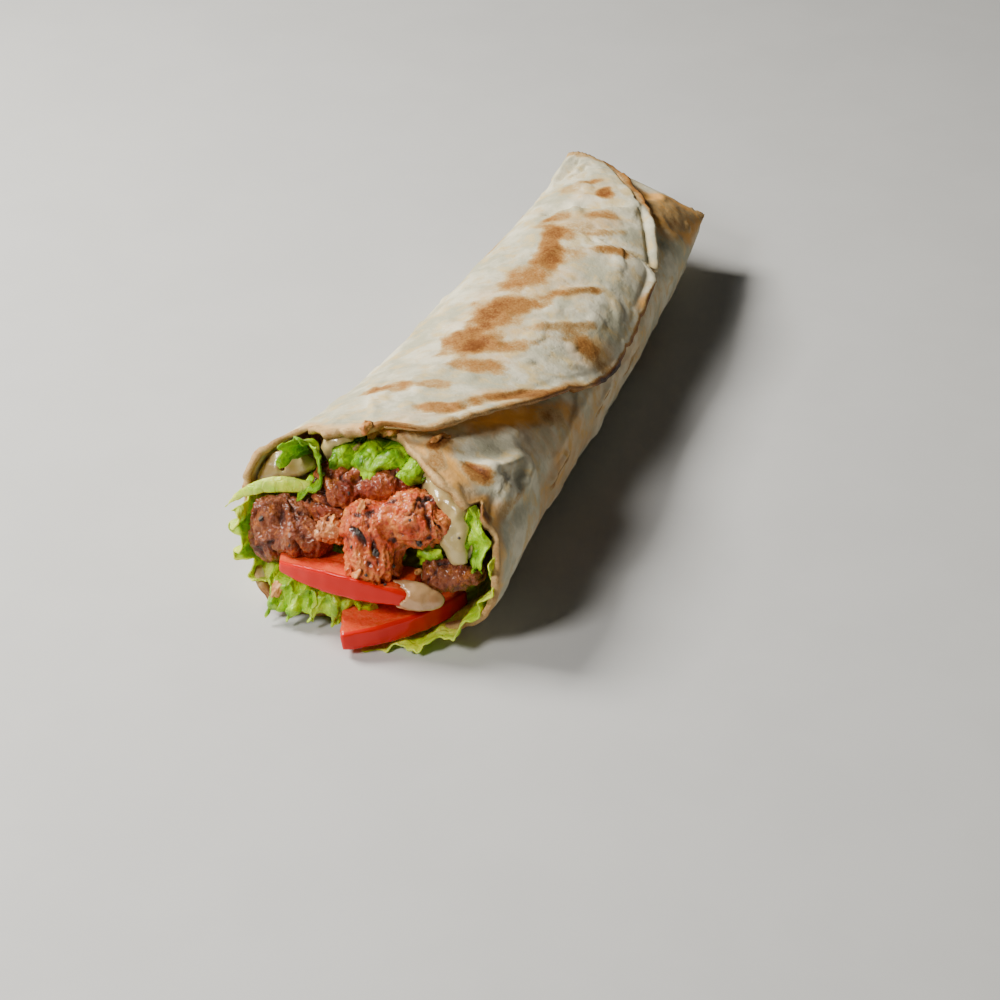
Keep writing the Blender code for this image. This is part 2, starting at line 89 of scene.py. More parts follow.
# The sheet's outer edge crosses the top: y, winding angle.
BORDER: Rows = (
    (-98.0, 91.0), (-95.5, 79.0), (-90.0, 73.0), (-81.0, 66.5), (-70.0, 59.5), (-61.0, 53.5),
    (-50.0, 47.0), (-40.0, 42.0), (-28.0, 33.5), (-16.0, 24.0), (-6.0, 18.5), (3.0, 16.5),
    (12.0, 17.5), (21.0, 19.5), (34.0, 23.0), (48.0, 26.5), (57.0, 31.0), (66.0, 39.0),
    (73.0, 47.0), (80.0, 55.0), (89.0, 68.0), (103.0, 89.0), (112.0, 101.0), (121.0, 113.0),
)
# Tears in that edge: y, depth in degrees, half width.
TEARS: Rows = (
    (54.6, 8.0, 1.1), (88.6, 2.2, 0.9), (-34.0, 2.0, 2.0), (12.0, 2.5, 1.5), (30.0, 2.0, 1.2),
)
# How far the outer edge stands off the layer below it: y, height.
EDGE_LIFT: Rows = (
    (-106.0, 1.2), (-98.0, 3.2), (-75.0, 4.2), (-50.0, 4.0), (-30.0, 2.6), (-8.0, 0.0),
)
# The mouth's rim: winding angle, y.
RIM: Rows = (
    (90.0, -98.0), (100.0, -102.5), (112.0, -103.5), (126.0, -98.0), (135.0, -94.5), (142.0, -98.5),
    (149.0, -107.5), (157.0, -112.0), (166.0, -110.5), (190.0, -110.0), (205.0, -114.0),
    (220.0, -122.5), (233.0, -125.5), (247.0, -122.5), (270.0, -118.5), (300.0, -117.5),
    (330.0, -118.5), (360.0, -119.0), (368.0, -117.0), (380.0, -113.0), (394.0, -111.5),
    (399.0, -107.0), (404.0, -112.8), (416.0, -112.0), (428.0, -108.0), (437.0, -102.5),
    (452.0, -95.0), (480.0, -95.5),
)
# The pinched end's rim: winding angle, y.
END_RIM: Rows = (
    (100.0, 119.5), (150.0, 121.0), (180.0, 120.0), (270.0, 119.0), (350.0, 120.5), (372.0, 121.8),
    (400.0, 120.0), (440.0, 118.0), (480.0, 118.0),
)
# Toasted places: y, winding angle, half length along the roll and round it, half width, strength.
TOASTED: Rows = (
    (-6.0, 93.0, 12.0, -3.0, 9.5, 0.7), (-9.0, 99.0, 7.0, 0.0, 5.0, 0.55),
    (20.0, 94.0, 14.0, -4.5, 6.5, 0.6), (37.0, 87.0, 9.0, -3.5, 7.0, 0.36),
    (-29.0, 97.0, 9.8, 2.0, 8.6, 0.72), (-30.0, 93.0, 4.5, -1.0, 2.4, 0.8),
    (-42.5, 83.5, 6.0, -6.0, 6.0, 0.6), (-27.0, 78.5, 7.5, -6.5, 3.4, 0.5),
    (-68.0, 111.5, 2.2, -6.5, 4.2, 0.72), (-62.5, 93.5, 1.5, -4.6, 3.6, 0.45),
    (-79.5, 81.5, 3.4, -5.0, 3.6, 0.66), (-56.0, 58.5, 14.0, -9.5, 3.0, 0.78),
    (-36.0, 41.0, 8.0, -4.2, 2.2, 0.45), (-5.5, 64.0, 11.5, -11.0, 3.0, 0.42),
    (-7.5, 54.0, 6.0, -7.5, 2.8, 0.3), (17.2, 68.0, 6.6, -5.8, 2.6, 0.66),
    (-6.0, 42.0, 3.4, -6.6, 4.6, 0.66), (-8.0, 29.0, 3.0, -5.0, 4.0, 0.45),
    (-46.0, 396.0, 8.0, -4.0, 3.0, 0.25), (-96.0, 412.0, 1.3, 4.2, 0.9, 1.1),
    (-98.0, 413.0, 1.6, 5.4, 4.2, 0.72), (-92.4, 432.5, 3.6, -1.8, 2.0, 0.95),
    (-101.0, 428.0, 5.0, 3.0, 2.4, 0.5), (-110.0, 394.0, 1.6, -4.2, 2.4, 0.92),
    (95.0, 109.5, 2.4, -3.8, 3.0, 0.58), (88.5, 95.0, 4.6, 3.6, 2.6, 0.88),
    (89.0, 121.0, 3.0, -4.2, 5.0, 0.3), (47.5, 99.5, 11.5, 5.6, 3.6, 0.66),
    (52.0, 99.0, -3.4, -8.4, 3.4, 0.4), (63.5, 105.0, 3.0, -5.4, 3.0, 0.52),
    (69.6, 84.0, 3.6, -9.0, 3.4, 0.58), (60.0, 74.0, 4.8, -6.0, 2.2, 0.44),
    (49.5, 67.0, 4.2, -8.8, 2.4, 0.66), (58.0, 90.0, 5.0, -6.0, 4.5, 0.3),
    (104.0, 408.0, 12.0, -16.0, 10.0, 0.3), (98.0, 392.0, 6.0, -8.0, 4.0, 0.4),
    (-46.0, 394.0, 4.0, -5.2, 4.0, 0.28), (-56.0, 363.0, 9.0, 0.6, 1.0, 0.8),
    (-11.0, 364.5, 7.0, 1.8, 1.0, 0.8), (-96.0, 385.0, 9.0, -1.0, 2.2, 0.3),
    (18.0, 356.0, 9.0, 1.0, 2.0, 0.45), (52.0, 150.0, 9.0, 4.0, 4.5, 0.42),
    (-14.0, 166.0, 12.0, 3.0, 6.0, 0.5), (-78.0, 160.0, 8.0, 5.0, 5.0, 0.45),
    (84.0, 166.0, 7.0, 3.0, 4.5, 0.5), (14.0, 214.0, 10.0, 4.0, 8.0, 0.5),
    (-52.0, 232.0, 8.0, 6.0, 5.0, 0.45), (66.0, 242.0, 11.0, 5.0, 6.0, 0.55),
    (-90.0, 262.0, 7.0, 5.0, 6.0, 0.5), (-10.0, 296.0, 14.0, 6.0, 8.0, 0.55),
    (56.0, 322.0, 9.0, 3.0, 5.0, 0.42), (-74.0, 330.0, 8.0, 2.0, 6.0, 0.4),
    (-121.0, 229.0, 4.0, 3.0, 3.5, 0.85), (-106.0, 176.0, 5.0, 5.0, 2.6, 0.6),
    (100.0, 285.0, 8.0, 6.0, 7.0, 0.5),
)
# Golden places, in the same terms: golden crust, a painted glow in the pocket under the lifted
# edge, and a painted warm shade tint on the right side and underneath.
GOLD_AND_PAINTED_LIGHT: Rows = (
    (103.0, 410.0, 13.0, -26.0, 17.0, 1.0), (112.0, 385.0, 8.0, -12.0, 8.0, 0.7),
    (-63.0, 415.0, 15.0, -9.0, 5.5, 1.0), (-46.0, 398.0, 10.0, -5.5, 5.5, 0.85),
    (-103.0, 420.0, 7.0, 10.0, 6.5, 0.9), (-95.0, 432.0, 6.0, -3.0, 5.0, 0.8),
    (-88.0, 86.0, 7.0, -7.0, 6.0, 0.35), (-56.0, 58.0, 16.0, -11.0, 4.6, 0.65),
    (-36.0, 40.0, 8.0, -4.0, 3.5, 0.75), (4.0, 95.0, 30.0, -4.0, 15.0, 0.34),
    (-33.0, 90.0, 14.0, 0.0, 14.0, 0.34), (-56.0, 388.0, 20.0, -6.0, 12.0, 0.35),
    (90.0, 100.0, 9.0, 3.0, 10.0, 0.34), (66.0, 84.0, 11.0, -12.0, 9.0, 0.42),
    (-108.0, 394.0, 5.0, -5.0, 5.0, 0.75), (-108.0, 172.0, 5.0, 6.0, 5.0, 0.25),
    (0.0, 366.0, 60.0, 4.0, 14.0, 0.34), (-60.0, 350.0, 34.0, 4.0, 16.0, 0.3),
    (0.0, 300.0, 30.0, 10.0, 14.0, 0.3), (-60.0, 250.0, 24.0, 12.0, 12.0, 0.25),
    (10.0, 160.0, 26.0, 6.0, 9.0, 0.22), (60.0, 330.0, 26.0, 4.0, 10.0, 0.25),
    (-118.0, 232.0, 6.0, 5.0, 5.0, 0.7), (-6.0, 36.0, 8.0, -10.0, 8.0, 0.5),
    (17.0, 68.0, 8.0, -7.0, 4.0, 0.4), (49.0, 67.0, 6.0, -9.0, 4.5, 0.35),
    (38.0, 26.0, 7.0, -2.0, 3.0, 0.8),
)
# Folds: y, winding angle, half length along the roll and round it, half width, height.
FOLDS: Rows = (
    (72.0, 114.0, 3.6, -6.4, 2.1, -2.0), (79.2, 90.0, 4.2, -11.0, 2.1, -2.5),
    (77.0, 80.0, 7.5, -7.5, 1.5, 0.9), (68.0, 104.0, 4.6, -6.0, 1.6, 0.9),
    (64.5, 76.0, 5.5, -7.0, 1.1, -0.9), (61.0, 73.0, 5.0, -6.0, 1.2, 0.8),
    (67.5, 80.0, 3.4, -8.0, 1.2, 0.7), (54.0, 75.0, 2.5, -5.5, 1.0, -0.9),
    (51.0, 67.0, 4.2, -8.8, 1.4, 0.8), (-3.0, 64.0, 11.5, -11.0, 1.5, 0.6),
    (1.5, 62.0, 8.0, -9.0, 1.8, -0.4), (19.5, 68.0, 6.0, -6.0, 1.4, 1.0),
    (24.0, 70.0, 5.0, -6.0, 1.6, -0.7), (-70.0, 96.0, 14.0, 7.0, 1.4, 0.5),
    (-76.0, 92.0, 14.0, 6.0, 1.3, -0.4), (-86.0, 104.0, 10.0, 6.0, 1.3, 0.5),
    (-60.0, 118.0, 16.0, 4.0, 1.6, -0.4), (-18.0, 40.0, 6.0, -9.0, 1.6, 0.6),
    (114.6, 121.0, -1.8, 6.5, 0.9, 0.8), (108.0, 132.0, -5.5, 2.4, 1.0, 0.8),
    (98.0, 137.0, -5.4, 1.8, 1.2, 0.7), (111.0, 121.0, -1.8, 6.5, 0.9, -0.9),
    (104.6, 130.0, -5.5, 2.4, 1.0, -0.9), (105.5, 116.5, -0.6, 6.0, 1.1, 0.7),
    (101.2, 127.6, -3.8, 2.6, 1.1, 0.6), (106.0, 148.0, 15.0, 3.0, 2.0, 1.7),
    (107.0, 141.5, 10.0, -0.6, 1.0, -1.6), (100.0, 170.0, 18.0, 3.0, 1.4, -0.8),
    (92.0, 190.0, 20.0, 2.0, 1.6, 0.8), (100.0, 215.0, 16.0, -2.0, 1.4, -0.8),
    (98.0, 330.0, 18.0, 2.0, 1.5, -0.7), (104.0, 300.0, 14.0, -2.0, 1.4, 0.8),
    (-77.5, 424.5, 5.6, -5.0, 2.2, 1.2), (-69.5, 411.0, 3.4, -6.6, 2.4, 1.2),
    (-63.0, 417.0, 14.0, -8.0, 2.4, -1.4), (-88.4, 398.5, -1.0, -4.0, 1.2, 0.6),
    (-91.4, 399.5, -0.4, -3.4, 0.9, -0.4), (-94.0, 397.0, -0.6, -3.4, 1.1, 0.4),
    (-96.5, 412.0, 1.4, 5.0, 1.0, -0.9), (-92.4, 432.5, 4.0, -2.0, 1.3, 0.9),
    (-100.0, 395.0, 12.0, 3.0, 1.3, -0.6), (-84.0, 386.0, 12.0, 3.0, 1.4, 0.6),
    (-40.0, 378.0, 26.0, 2.0, 1.8, 0.5), (10.0, 356.0, 34.0, 2.0, 1.8, -0.5),
    (-88.0, 180.0, 16.0, 3.0, 1.8, 0.6), (-30.0, 204.0, 30.0, -3.0, 2.2, -0.6),
    (40.0, 184.0, 26.0, 3.0, 2.0, 0.6), (-55.0, 366.0, 12.0, 0.5, 1.2, 0.7),
    (-11.0, 367.5, 9.0, 2.2, 1.2, 0.7), (-86.0, 397.0, 18.0, -2.0, 7.0, 3.0),
    (108.0, 442.0, 11.0, 7.0, 5.0, -1.8),
)
# How strongly the sheet's outer edge is toasted: y, strength.
EDGE_TOAST: Rows = (
    (-98.0, 0.45), (-80.0, 0.4), (-60.0, 0.55), (-40.0, 0.45), (-26.0, 0.4), (-18.0, 0.9),
    (-9.0, 1.45), (1.0, 1.35), (8.0, 0.85), (18.0, 0.75), (34.0, 0.8), (42.0, 1.0), (48.0, 0.9),
    (53.0, 0.35), (60.0, 0.2), (78.0, 0.24), (88.0, 0.55), (121.0, 0.35),
)
# Height of the rolled lip along the outer edge: y, height.
LIP: Rows = (
    (-98.0, 0.3), (-82.0, 0.8), (-60.0, 1.0), (-42.0, 0.7), (-32.0, 0.3), (30.0, 0.3), (42.0, 1.0),
    (50.0, 1.1), (53.4, 0.1), (55.8, 0.1), (58.0, 1.3), (80.0, 1.5), (87.0, 0.0), (121.0, 0.0),
)


def curve(rows: Rows) -> Callable[[np.ndarray], np.ndarray]:
    """Smooth line through rows of an abscissa and its values that never swings past them.

    Args:
        rows: the abscissa and one or more values, in rising order.

    Returns:
        A function that gives the values at an array of abscissas, on a new last axis.
    """
    table = np.array(rows, float)
    xs, values = table[:, 0], table[:, 1:]
    steps = np.diff(values, axis=0) / np.diff(xs)[:, None]
    product = steps[1:] * steps[:-1]
    total = np.where(np.abs(steps[1:] + steps[:-1]) < 1e-9, 1.0, steps[1:] + steps[:-1])
    inner = np.where(product > 0.0, 2.0 * product / total, 0.0)
    slopes = np.vstack([steps[:1], inner, steps[-1:]])

    def value(x: np.ndarray) -> np.ndarray:
        """Values of the line.

        Args:
            x: the abscissas.

        Returns:
            The values, on a new last axis.
        """
        x = np.clip(np.asarray(x, float), xs[0], xs[-1])
        i = np.clip(np.searchsorted(xs, x, side="right") - 1, 0, len(xs) - 2)
        width = xs[i + 1] - xs[i]
        t = ((x - xs[i]) / width)[..., None]
        width = width[..., None]
        rise = values[i + 1] - values[i]
        smooth = t * t * (3.0 - 2.0 * t)
        ease = t * (1.0 - t) * width
        return values[i] + rise * smooth + ease * ((1.0 - t) * slopes[i] - t * slopes[i + 1])

    return value


section_at = curve(SECTIONS)
border_at = curve(BORDER)
lift_at = curve(EDGE_LIFT)
rim_at = curve(RIM)
end_rim_at = curve(END_RIM)
edge_toast_at = curve(EDGE_TOAST)
lip_at = curve(LIP)


def edge_at(y: np.ndarray) -> np.ndarray:
    """Winding angle of the sheet's outer edge, with its tears.

    Args:
        y: places along the roll.

    Returns:
        The angle at each place.
    """
    line = border_at(y)[..., 0]
    for place, depth, half in TEARS:
        line = line + depth * np.exp(-(((y - place) / half) ** 2))
    return line


def mix(a: float, b: float, share: float) -> float:
    """Value between a and b."""
    return a + (b - a) * share


def smoothstep(low: float, high: float, x: np.ndarray) -> np.ndarray:
    """Eased ramp from 0 at low to 1 at high."""
    t = np.clip((x - low) / (high - low), 0.0, 1.0)
    return t * t * (3.0 - 2.0 * t)


def noise_at(points: np.ndarray, size: float, seed: float = 0.0) -> np.ndarray:
    """Smooth noise from about -0.6 to 0.6 at each point.

    Args:
        points: an array of points in millimetres.
        size: the width of its lumps.
        seed: a shift that gives another pattern.

    Returns:
        The noise at each point.
    """
    scaled = points / size + seed * 7.31
    return np.array([noise.noise(Vector(point)) for point in scaled])


def on_roll(
    y: np.ndarray, theta: np.ndarray, rho: np.ndarray, floor: np.ndarray | float = 0.0,
) -> np.ndarray:
    """Points at a height over the roll's surface.

    Args:
        y: place along the roll.
        theta: angle round it, 0 at the right side and 90 on top.
        rho: height over the surface.
        floor: lowest z that a point may have.

    Returns:
        The points in millimetres.
    """
    given = (np.asarray(value, float) for value in (y, theta, rho, floor))
    y, theta, rho, floor = np.broadcast_arrays(*given)
    cx, cz, half, rise, drop, tilt = np.moveaxis(section_at(y), -1, 0)
    c, s = np.cos(np.radians(theta)), np.sin(np.radians(theta))
    power = 2.0 / SQUARENESS
    height = np.where(s >= 0.0, rise, drop)
    across = (half + rho) * np.sign(c) * np.abs(c) ** power
    up = (height + rho) * np.sign(s) * np.abs(s) ** power
    lean = np.radians(tilt)
    x = cx + across * np.cos(lean) + up * np.sin(lean)
    z = cz - across * np.sin(lean) + up * np.cos(lean)
    return np.stack([x, y, np.maximum(z, floor)], axis=-1)


def deselect() -> None:
    """Leaves nothing selected, so that an operator acts on the next piece alone."""
    if bpy.context.mode != "OBJECT":
        bpy.ops.object.mode_set(mode="OBJECT")
    bpy.ops.object.select_all(action="DESELECT")


def activate(piece: bpy.types.Object) -> None:
    """Selects one piece and makes it active.

    Args:
        piece: the piece.
    """
    deselect()
    piece.select_set(True)
    bpy.context.view_layer.objects.active = piece


def read_vectors(mesh: bpy.types.Mesh, name: str) -> np.ndarray:
    """One vector of each vertex.

    Args:
        mesh: the mesh to read.
        name: the name of the vector.

    Returns:
        An array with a row for each vertex.
    """
    flat = np.empty(len(mesh.vertices) * 3, np.float32)
    mesh.vertices.foreach_get(name, flat)
    return flat.reshape(-1, 3).astype(float)


def coordinates(mesh: bpy.types.Mesh) -> np.ndarray:
    """The mesh's points in millimetres."""
    return read_vectors(mesh, "co") / MM


def normals(mesh: bpy.types.Mesh) -> np.ndarray:
    """The mesh's vertex normals."""
    return read_vectors(mesh, "normal")


def move_points(mesh: bpy.types.Mesh, points: np.ndarray) -> None:
    """Puts the mesh's points at these places in millimetres."""
    mesh.vertices.foreach_set("co", (points * MM).astype(np.float32).ravel())
    mesh.update()


def raise_points(mesh: bpy.types.Mesh, height: np.ndarray | float) -> None:
    """Moves each of the mesh's points out along its normal by its height in millimetres."""
    lift = np.broadcast_to(height, (len(mesh.vertices),))
    move_points(mesh, coordinates(mesh) + normals(mesh) * lift[:, None])


def write_attribute(mesh: bpy.types.Mesh, name: str, values: np.ndarray) -> None:
    """Stores a number for each vertex, for the mesh's material to read."""
    layer = mesh.attributes.new(name, "FLOAT", "POINT")
    layer.data.foreach_set("value", values.astype(np.float32))


def modify(piece: bpy.types.Object, kind: str, **settings: object) -> None:
    """Adds a modifier and applies it at once.

    Args:
        piece: the piece.
        kind: the modifier's type.
        settings: the modifier's own settings.
    """
    activate(piece)
    step = piece.modifiers.new(kind.lower(), kind)
    for name, value in settings.items():
        setattr(step, name, value)
    bpy.ops.object.modifier_apply(modifier=step.name)


def remesh(piece: bpy.types.Object, voxel: float, passes: int) -> None:
    """Rebuilds a closed piece from voxels and smooths it.

    Args:
        piece: the piece.
        voxel: their size in millimetres.
        passes: how often it is smoothed.
    """
    modify(piece, "REMESH", mode="VOXEL", voxel_size=voxel * MM)
    if passes:
        modify(piece, "SMOOTH", factor=0.5, iterations=passes)


def edit_all(piece: bpy.types.Object, step: Callable[..., set[str]], **settings: object) -> None:
    """Runs a mesh operator on the whole of a piece.

    Args:
        piece: the piece.
        step: the operator.
        settings: the operator's own settings.
    """
    activate(piece)
    bpy.ops.object.mode_set(mode="EDIT")
    bpy.ops.mesh.select_all(action="SELECT")
    step(**settings)
    bpy.ops.object.mode_set(mode="OBJECT")


def link(thing: bpy.types.Object) -> None:
    """Puts an object into the scene."""
    bpy.context.scene.collection.objects.link(thing)


def view_turn(place: Place, target: Place) -> Quaternion:
    """Turn that points a camera or a light from a place to a target."""
    return (Vector(target) - Vector(place)).to_track_quat("-Z", "Y")


def dress(
    piece: bpy.types.Object, food: Food, nodes: Iterable[str], *finishes: bpy.types.Material,
) -> None:
    """Gives a finished piece its materials, its body and the nodes it stands for.

    Args:
        piece: the piece.
        food: its kind of food, which is logged.
        nodes: the nodes that it replaces, none for a piece of the looks alone.
        finishes: its materials in order.
    """
    if finishes:
        piece.data.materials.clear()
    for finish in finishes:
        piece.data.materials.append(finish)
    piece.data.shade_smooth()
    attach(piece, "root")
    if nodes:
        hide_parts(*nodes)
    log.info("%s: %d points, %s", piece.name, len(piece.data.vertices), food.value)


def grid(name: str, columns: int, rows: int) -> bpy.types.Object:
    """Flat grid of a unit's width with its UV map, to be shaped by a surface.

    Args:
        name: its name.
        columns: how many faces it has across.
        rows: how many it has along.

    Returns:
        The grid.
    """
    deselect()
    cuts = {"x_subdivisions": columns, "y_subdivisions": rows}
    bpy.ops.mesh.primitive_grid_add(**cuts, size=1.0, calc_uvs=True)
    piece = bpy.context.object
    piece.name = piece.data.name = name
    return piece


def solid_copy(node: str, name: str) -> bpy.types.Object:
    """Copy of a node's solid with its loose triangles merged.

    Args:
        node: the name of the solid.
        name: the name of the copy.

    Returns:
        The copy.
    """
    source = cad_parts[node]
    piece = bpy.data.objects.new(name, source.data.copy())
    piece.data.name = name
    link(piece)
    edit_all(piece, bpy.ops.mesh.remove_doubles, threshold=WELD)
    return piece


class Nodes:
    """A material or a shader group, with short calls for its nodes and links."""

    def __init__(self, tree: bpy.types.NodeTree) -> None:
        """Works on this tree."""
        self.tree = tree

    def put(self, value: object, socket: Socket) -> None:
        """Links an output to an input, or sets the input's value.

        Args:
            value: an output, a number, a vector or a colour.
            socket: the input.
        """
        if isinstance(value, Socket):
            self.tree.links.new(value, socket)
        elif isinstance(value, tuple) and len(value) == 3 and socket.type == "RGBA":
            socket.default_value = (*value, 1.0)
        else:
            socket.default_value = value

    def feed(self, node: bpy.types.Node, **values: object) -> None:
        """Sets or links a node's inputs, each named in lower case with underscores."""
        for name, value in values.items():
            self.put(value, node.inputs[name.replace("_", " ").title().replace("Ior", "IOR")])

    def add(self, kind: str, **settings: object) -> bpy.types.Node:
        """Adds a node.

        Args:
            kind: the node's type.
            settings: its own properties by name, and any other name is an input to feed.

        Returns:
            The node.
        """
        node = self.tree.nodes.new(kind)
        for name, value in settings.items():
            if hasattr(node, name):
                setattr(node, name, value)
            else:
                self.feed(node, **{name: value})
        return node

    def attribute(self, name: str) -> Socket:
        """The number that the mesh stores under this name."""
        return self.add("ShaderNodeAttribute", attribute_name=name).outputs["Fac"]

    def place(self) -> Socket:
        """The point's place on the object, in metres."""
        return self.add("ShaderNodeTexCoord").outputs["Object"]

    def math(self, operation: str, *values: object) -> Socket:
        """Result of one operation on up to three numbers.

        Args:
            operation: the name of the operation.
            values: what it works on, in order.

        Returns:
            The result.
        """
        node = self.add("ShaderNodeMath", operation=operation)
        for socket, value in zip(node.inputs, values):
            self.put(value, socket)
        return node.outputs[0]

    def times(self, a: object, b: object) -> Socket:
        """Product of two numbers."""
        return self.math("MULTIPLY", a, b)

    def plus(self, a: object, b: object) -> Socket:
        """Sum of two numbers."""
        return self.math("ADD", a, b)

    def minus(self, a: object, b: object) -> Socket:
        """Difference of two numbers."""
        return self.math("SUBTRACT", a, b)

    def scaled(self, a: object, factor: object, start: object) -> Socket:
        """Product of two numbers, added to a start."""
        return self.math("MULTIPLY_ADD", a, factor, start)

    def ramp(self, value: object, low: float, high: float) -> Socket:
        """Eased mask from 0 at low to 1 at high.

        Args:
            value: the number to mask.
            low: where the mask is 0.
            high: where it is 1.

        Returns:
            The mask.
        """
        node = self.add("ShaderNodeMapRange", interpolation_type="SMOOTHSTEP")
        self.feed(node, value=value, from_min=low, from_max=high)
        return node.outputs[0]

    def blend(self, share: object, a: object, b: object) -> Socket:
        """Colour a turned into b by a share.

        Args:
            share: the mask.
            a: the colour where the mask is 0.
            b: the colour where it is 1.

        Returns:
            The blended colour.
        """
        node = self.add("ShaderNodeMix", data_type="RGBA", blend_type="MIX")
        for index, value in zip(MIX_INPUTS, (share, a, b)):
            self.put(value, node.inputs[index])
        return node.outputs[MIX_RESULT]

    def grain(
        self, size: float, place: object, detail: float = 3.0, rough: float = 0.55,
        twist: float = 0.0,
    ) -> Socket:
        """Noise whose lumps are about this many millimetres wide.

        Args:
            size: their width.
            place: the point.
            detail: how many finer layers it has.
            rough: how strong they are.
            twist: how far it is bent.

        Returns:
            The noise from 0 to 1.
        """
        node = self.add("ShaderNodeTexNoise", vector=place, scale=1.0 / (size * MM))
        self.feed(node, detail=detail, roughness=rough, distortion=twist)
        return node.outputs[0]

    def cells(self, size: float, place: object, feature: str = "F1") -> Socket:
        """Distance pattern of cells about this many millimetres wide.

        Args:
            size: their width.
            place: the point.
            feature: which distance.

        Returns:
            The distance.
        """
        scale = 1.0 / (size * MM)
        node = self.add("ShaderNodeTexVoronoi", feature=feature, vector=place, scale=scale)
        return node.outputs["Distance"]

    def bump(self, height: object, distance: float, strength: float = 1.0) -> Socket:
        """Normal from a height of 0 to 1 over this many millimetres.

        Args:
            height: the height.
            distance: how many millimetres 1 stands for.
            strength: its share.

        Returns:
            The normal.
        """
        node = self.add("ShaderNodeBump", strength=strength, distance=distance * MM)
        self.put(height, node.inputs["Height"])
        return node.outputs[0]


def new_finish(name: str, **values: object) -> tuple[bpy.types.Material, Nodes, bpy.types.Node]:
    """Material with a Principled shader whose own sockets hold these constant values.

    Args:
        name: the material's name.
        values: the shader's inputs in lower case with underscores.

    Returns:
        The material, its nodes and its shader.
    """
    material = bpy.data.materials.new(name)
    material.use_nodes = True
    nodes = Nodes(material.node_tree)
    shader = material.node_tree.nodes["Principled BSDF"]
    nodes.feed(shader, **values)
    return material, nodes, shader


def soft_grain() -> bpy.types.NodeTree:
    """Shader group: fine crumb relief and its pores, for both sides of the bread.

    Returns:
        The group.
    """
    tree = bpy.data.node_groups.new("soft_grain", "ShaderNodeTree")
    tree.interface.new_socket(name="Vector", socket_type="NodeSocketVector", in_out="INPUT")
    for name in ("Height", "Specks"):
        tree.interface.new_socket(name=name, socket_type="NodeSocketFloat", in_out="OUTPUT")
    nodes = Nodes(tree)
    entry = nodes.add("NodeGroupInput").outputs["Vector"]
    coarse = nodes.grain(2.6, entry, 4.0, 0.6)
    fine = nodes.grain(0.7, entry, 3.0, 0.6)
    pores = nodes.ramp(nodes.cells(2.1, entry), 0.06, 0.26)
    height = nodes.plus(nodes.times(coarse, 0.62), nodes.times(fine, 0.22))
    height = nodes.plus(height, nodes.times(pores, 0.12))
    specks = nodes.ramp(nodes.cells(3.4, entry), 0.17, 0.07)
    nodes.feed(nodes.add("NodeGroupOutput"), height=height, specks=specks)
    return tree


@dataclass(frozen=True)
class BreadFinish:
    """Floury flatbread, toasted where the mesh says so, with a painted glow from the pocket."""

    name: str
    white: Colour = (0.90, 0.835, 0.615)
    grey: Colour = (0.57, 0.545, 0.375)
    cream: Colour = (0.80, 0.62, 0.30)
    tan: Colour = (0.45, 0.205, 0.052)
    brown: Colour = (0.22, 0.072, 0.016)
    burnt: Colour = (0.050, 0.016, 0.006)
    # This colour serves golden crust, the painted glow and a painted warm shade tint.
    gold_and_painted_light: Colour = (0.90, 0.43, 0.075)
    black: Colour = (0.0, 0.0, 0.0)
    warmth: float = 0.0
    # Strength of the painted glow that the pocket under the loose edge emits.
    painted_glow_strength: float = 0.075

    def make(self, group: bpy.types.NodeTree) -> bpy.types.Material:
        """Builds the material.

        Args:
            group: the shared crumb relief.

        Returns:
            The material.
        """
        material, nodes, shader = new_finish(
            self.name, roughness=0.7, specular_ior_level=0.3, emission_strength=self.painted_glow_strength,
        )
        place = nodes.place()
        crumb = nodes.add("ShaderNodeGroup", node_tree=group)
        nodes.feed(crumb, vector=place)
        toast = nodes.plus(nodes.attribute("toast"), self.warmth)
        broken = nodes.minus(nodes.grain(4.2, place, 5.0, 0.62, 0.6), 0.5)
        ragged = nodes.minus(nodes.grain(1.3, place, 3.0, 0.6), 0.5)
        speck = nodes.minus(nodes.grain(0.6, place, 2.0, 0.6), 0.5)
        edge = nodes.scaled(ragged, 0.34, nodes.scaled(broken, 0.50, toast))
        edge = nodes.scaled(speck, nodes.times(nodes.ramp(toast, 0.1, 0.5), 0.55), edge)
        clouds = nodes.ramp(nodes.grain(15.0, place, 4.0, 0.6), 0.38, 0.62)
        base = nodes.blend(clouds, self.white, self.grey)
        patches = nodes.ramp(nodes.grain(6.0, place, 4.0, 0.6, 0.4), 0.46, 0.70)
        base = nodes.blend(patches, base, self.cream)
        # Gold: golden crust, with painted glow in the pocket and painted warm shade on the right
        # side.
        golden_and_painted_light = nodes.ramp(nodes.scaled(broken, 0.55, nodes.attribute("gold_and_painted_light")), 0.05, 0.95)
        base = nodes.blend(nodes.times(golden_and_painted_light, 0.92), base, self.gold_and_painted_light)
        colour = base
        for low, high, tone in (
            (0.06, 0.40, nodes.blend(0.5, self.cream, self.tan)), (0.28, 0.66, self.tan),
            (0.60, 0.98, self.brown), (0.96, 1.25, self.burnt),
        ):
            colour = nodes.blend(nodes.ramp(edge, low, high), colour, tone)
        freckled = nodes.ramp(nodes.grain(9.0, place, 2.0), 0.48, 0.66)
        freckle = nodes.times(crumb.outputs["Specks"], freckled)
        colour = nodes.blend(nodes.times(freckle, 0.30), colour, self.tan)
        # Painted glow: the pocket under the loose edge emits gold, standing in for light through
        # the thin sheet.
        painted_glow = nodes.blend(nodes.attribute("painted_glow"), self.black, self.gold_and_painted_light)
        rough = nodes.add("ShaderNodeMapRange", value=edge, to_min=0.78, to_max=0.48).outputs[0]
        relief = nodes.bump(crumb.outputs["Height"], 0.55, 0.75)
        nodes.feed(shader, base_color=colour, emission_color=painted_glow, roughness=rough, normal=relief)
        return material


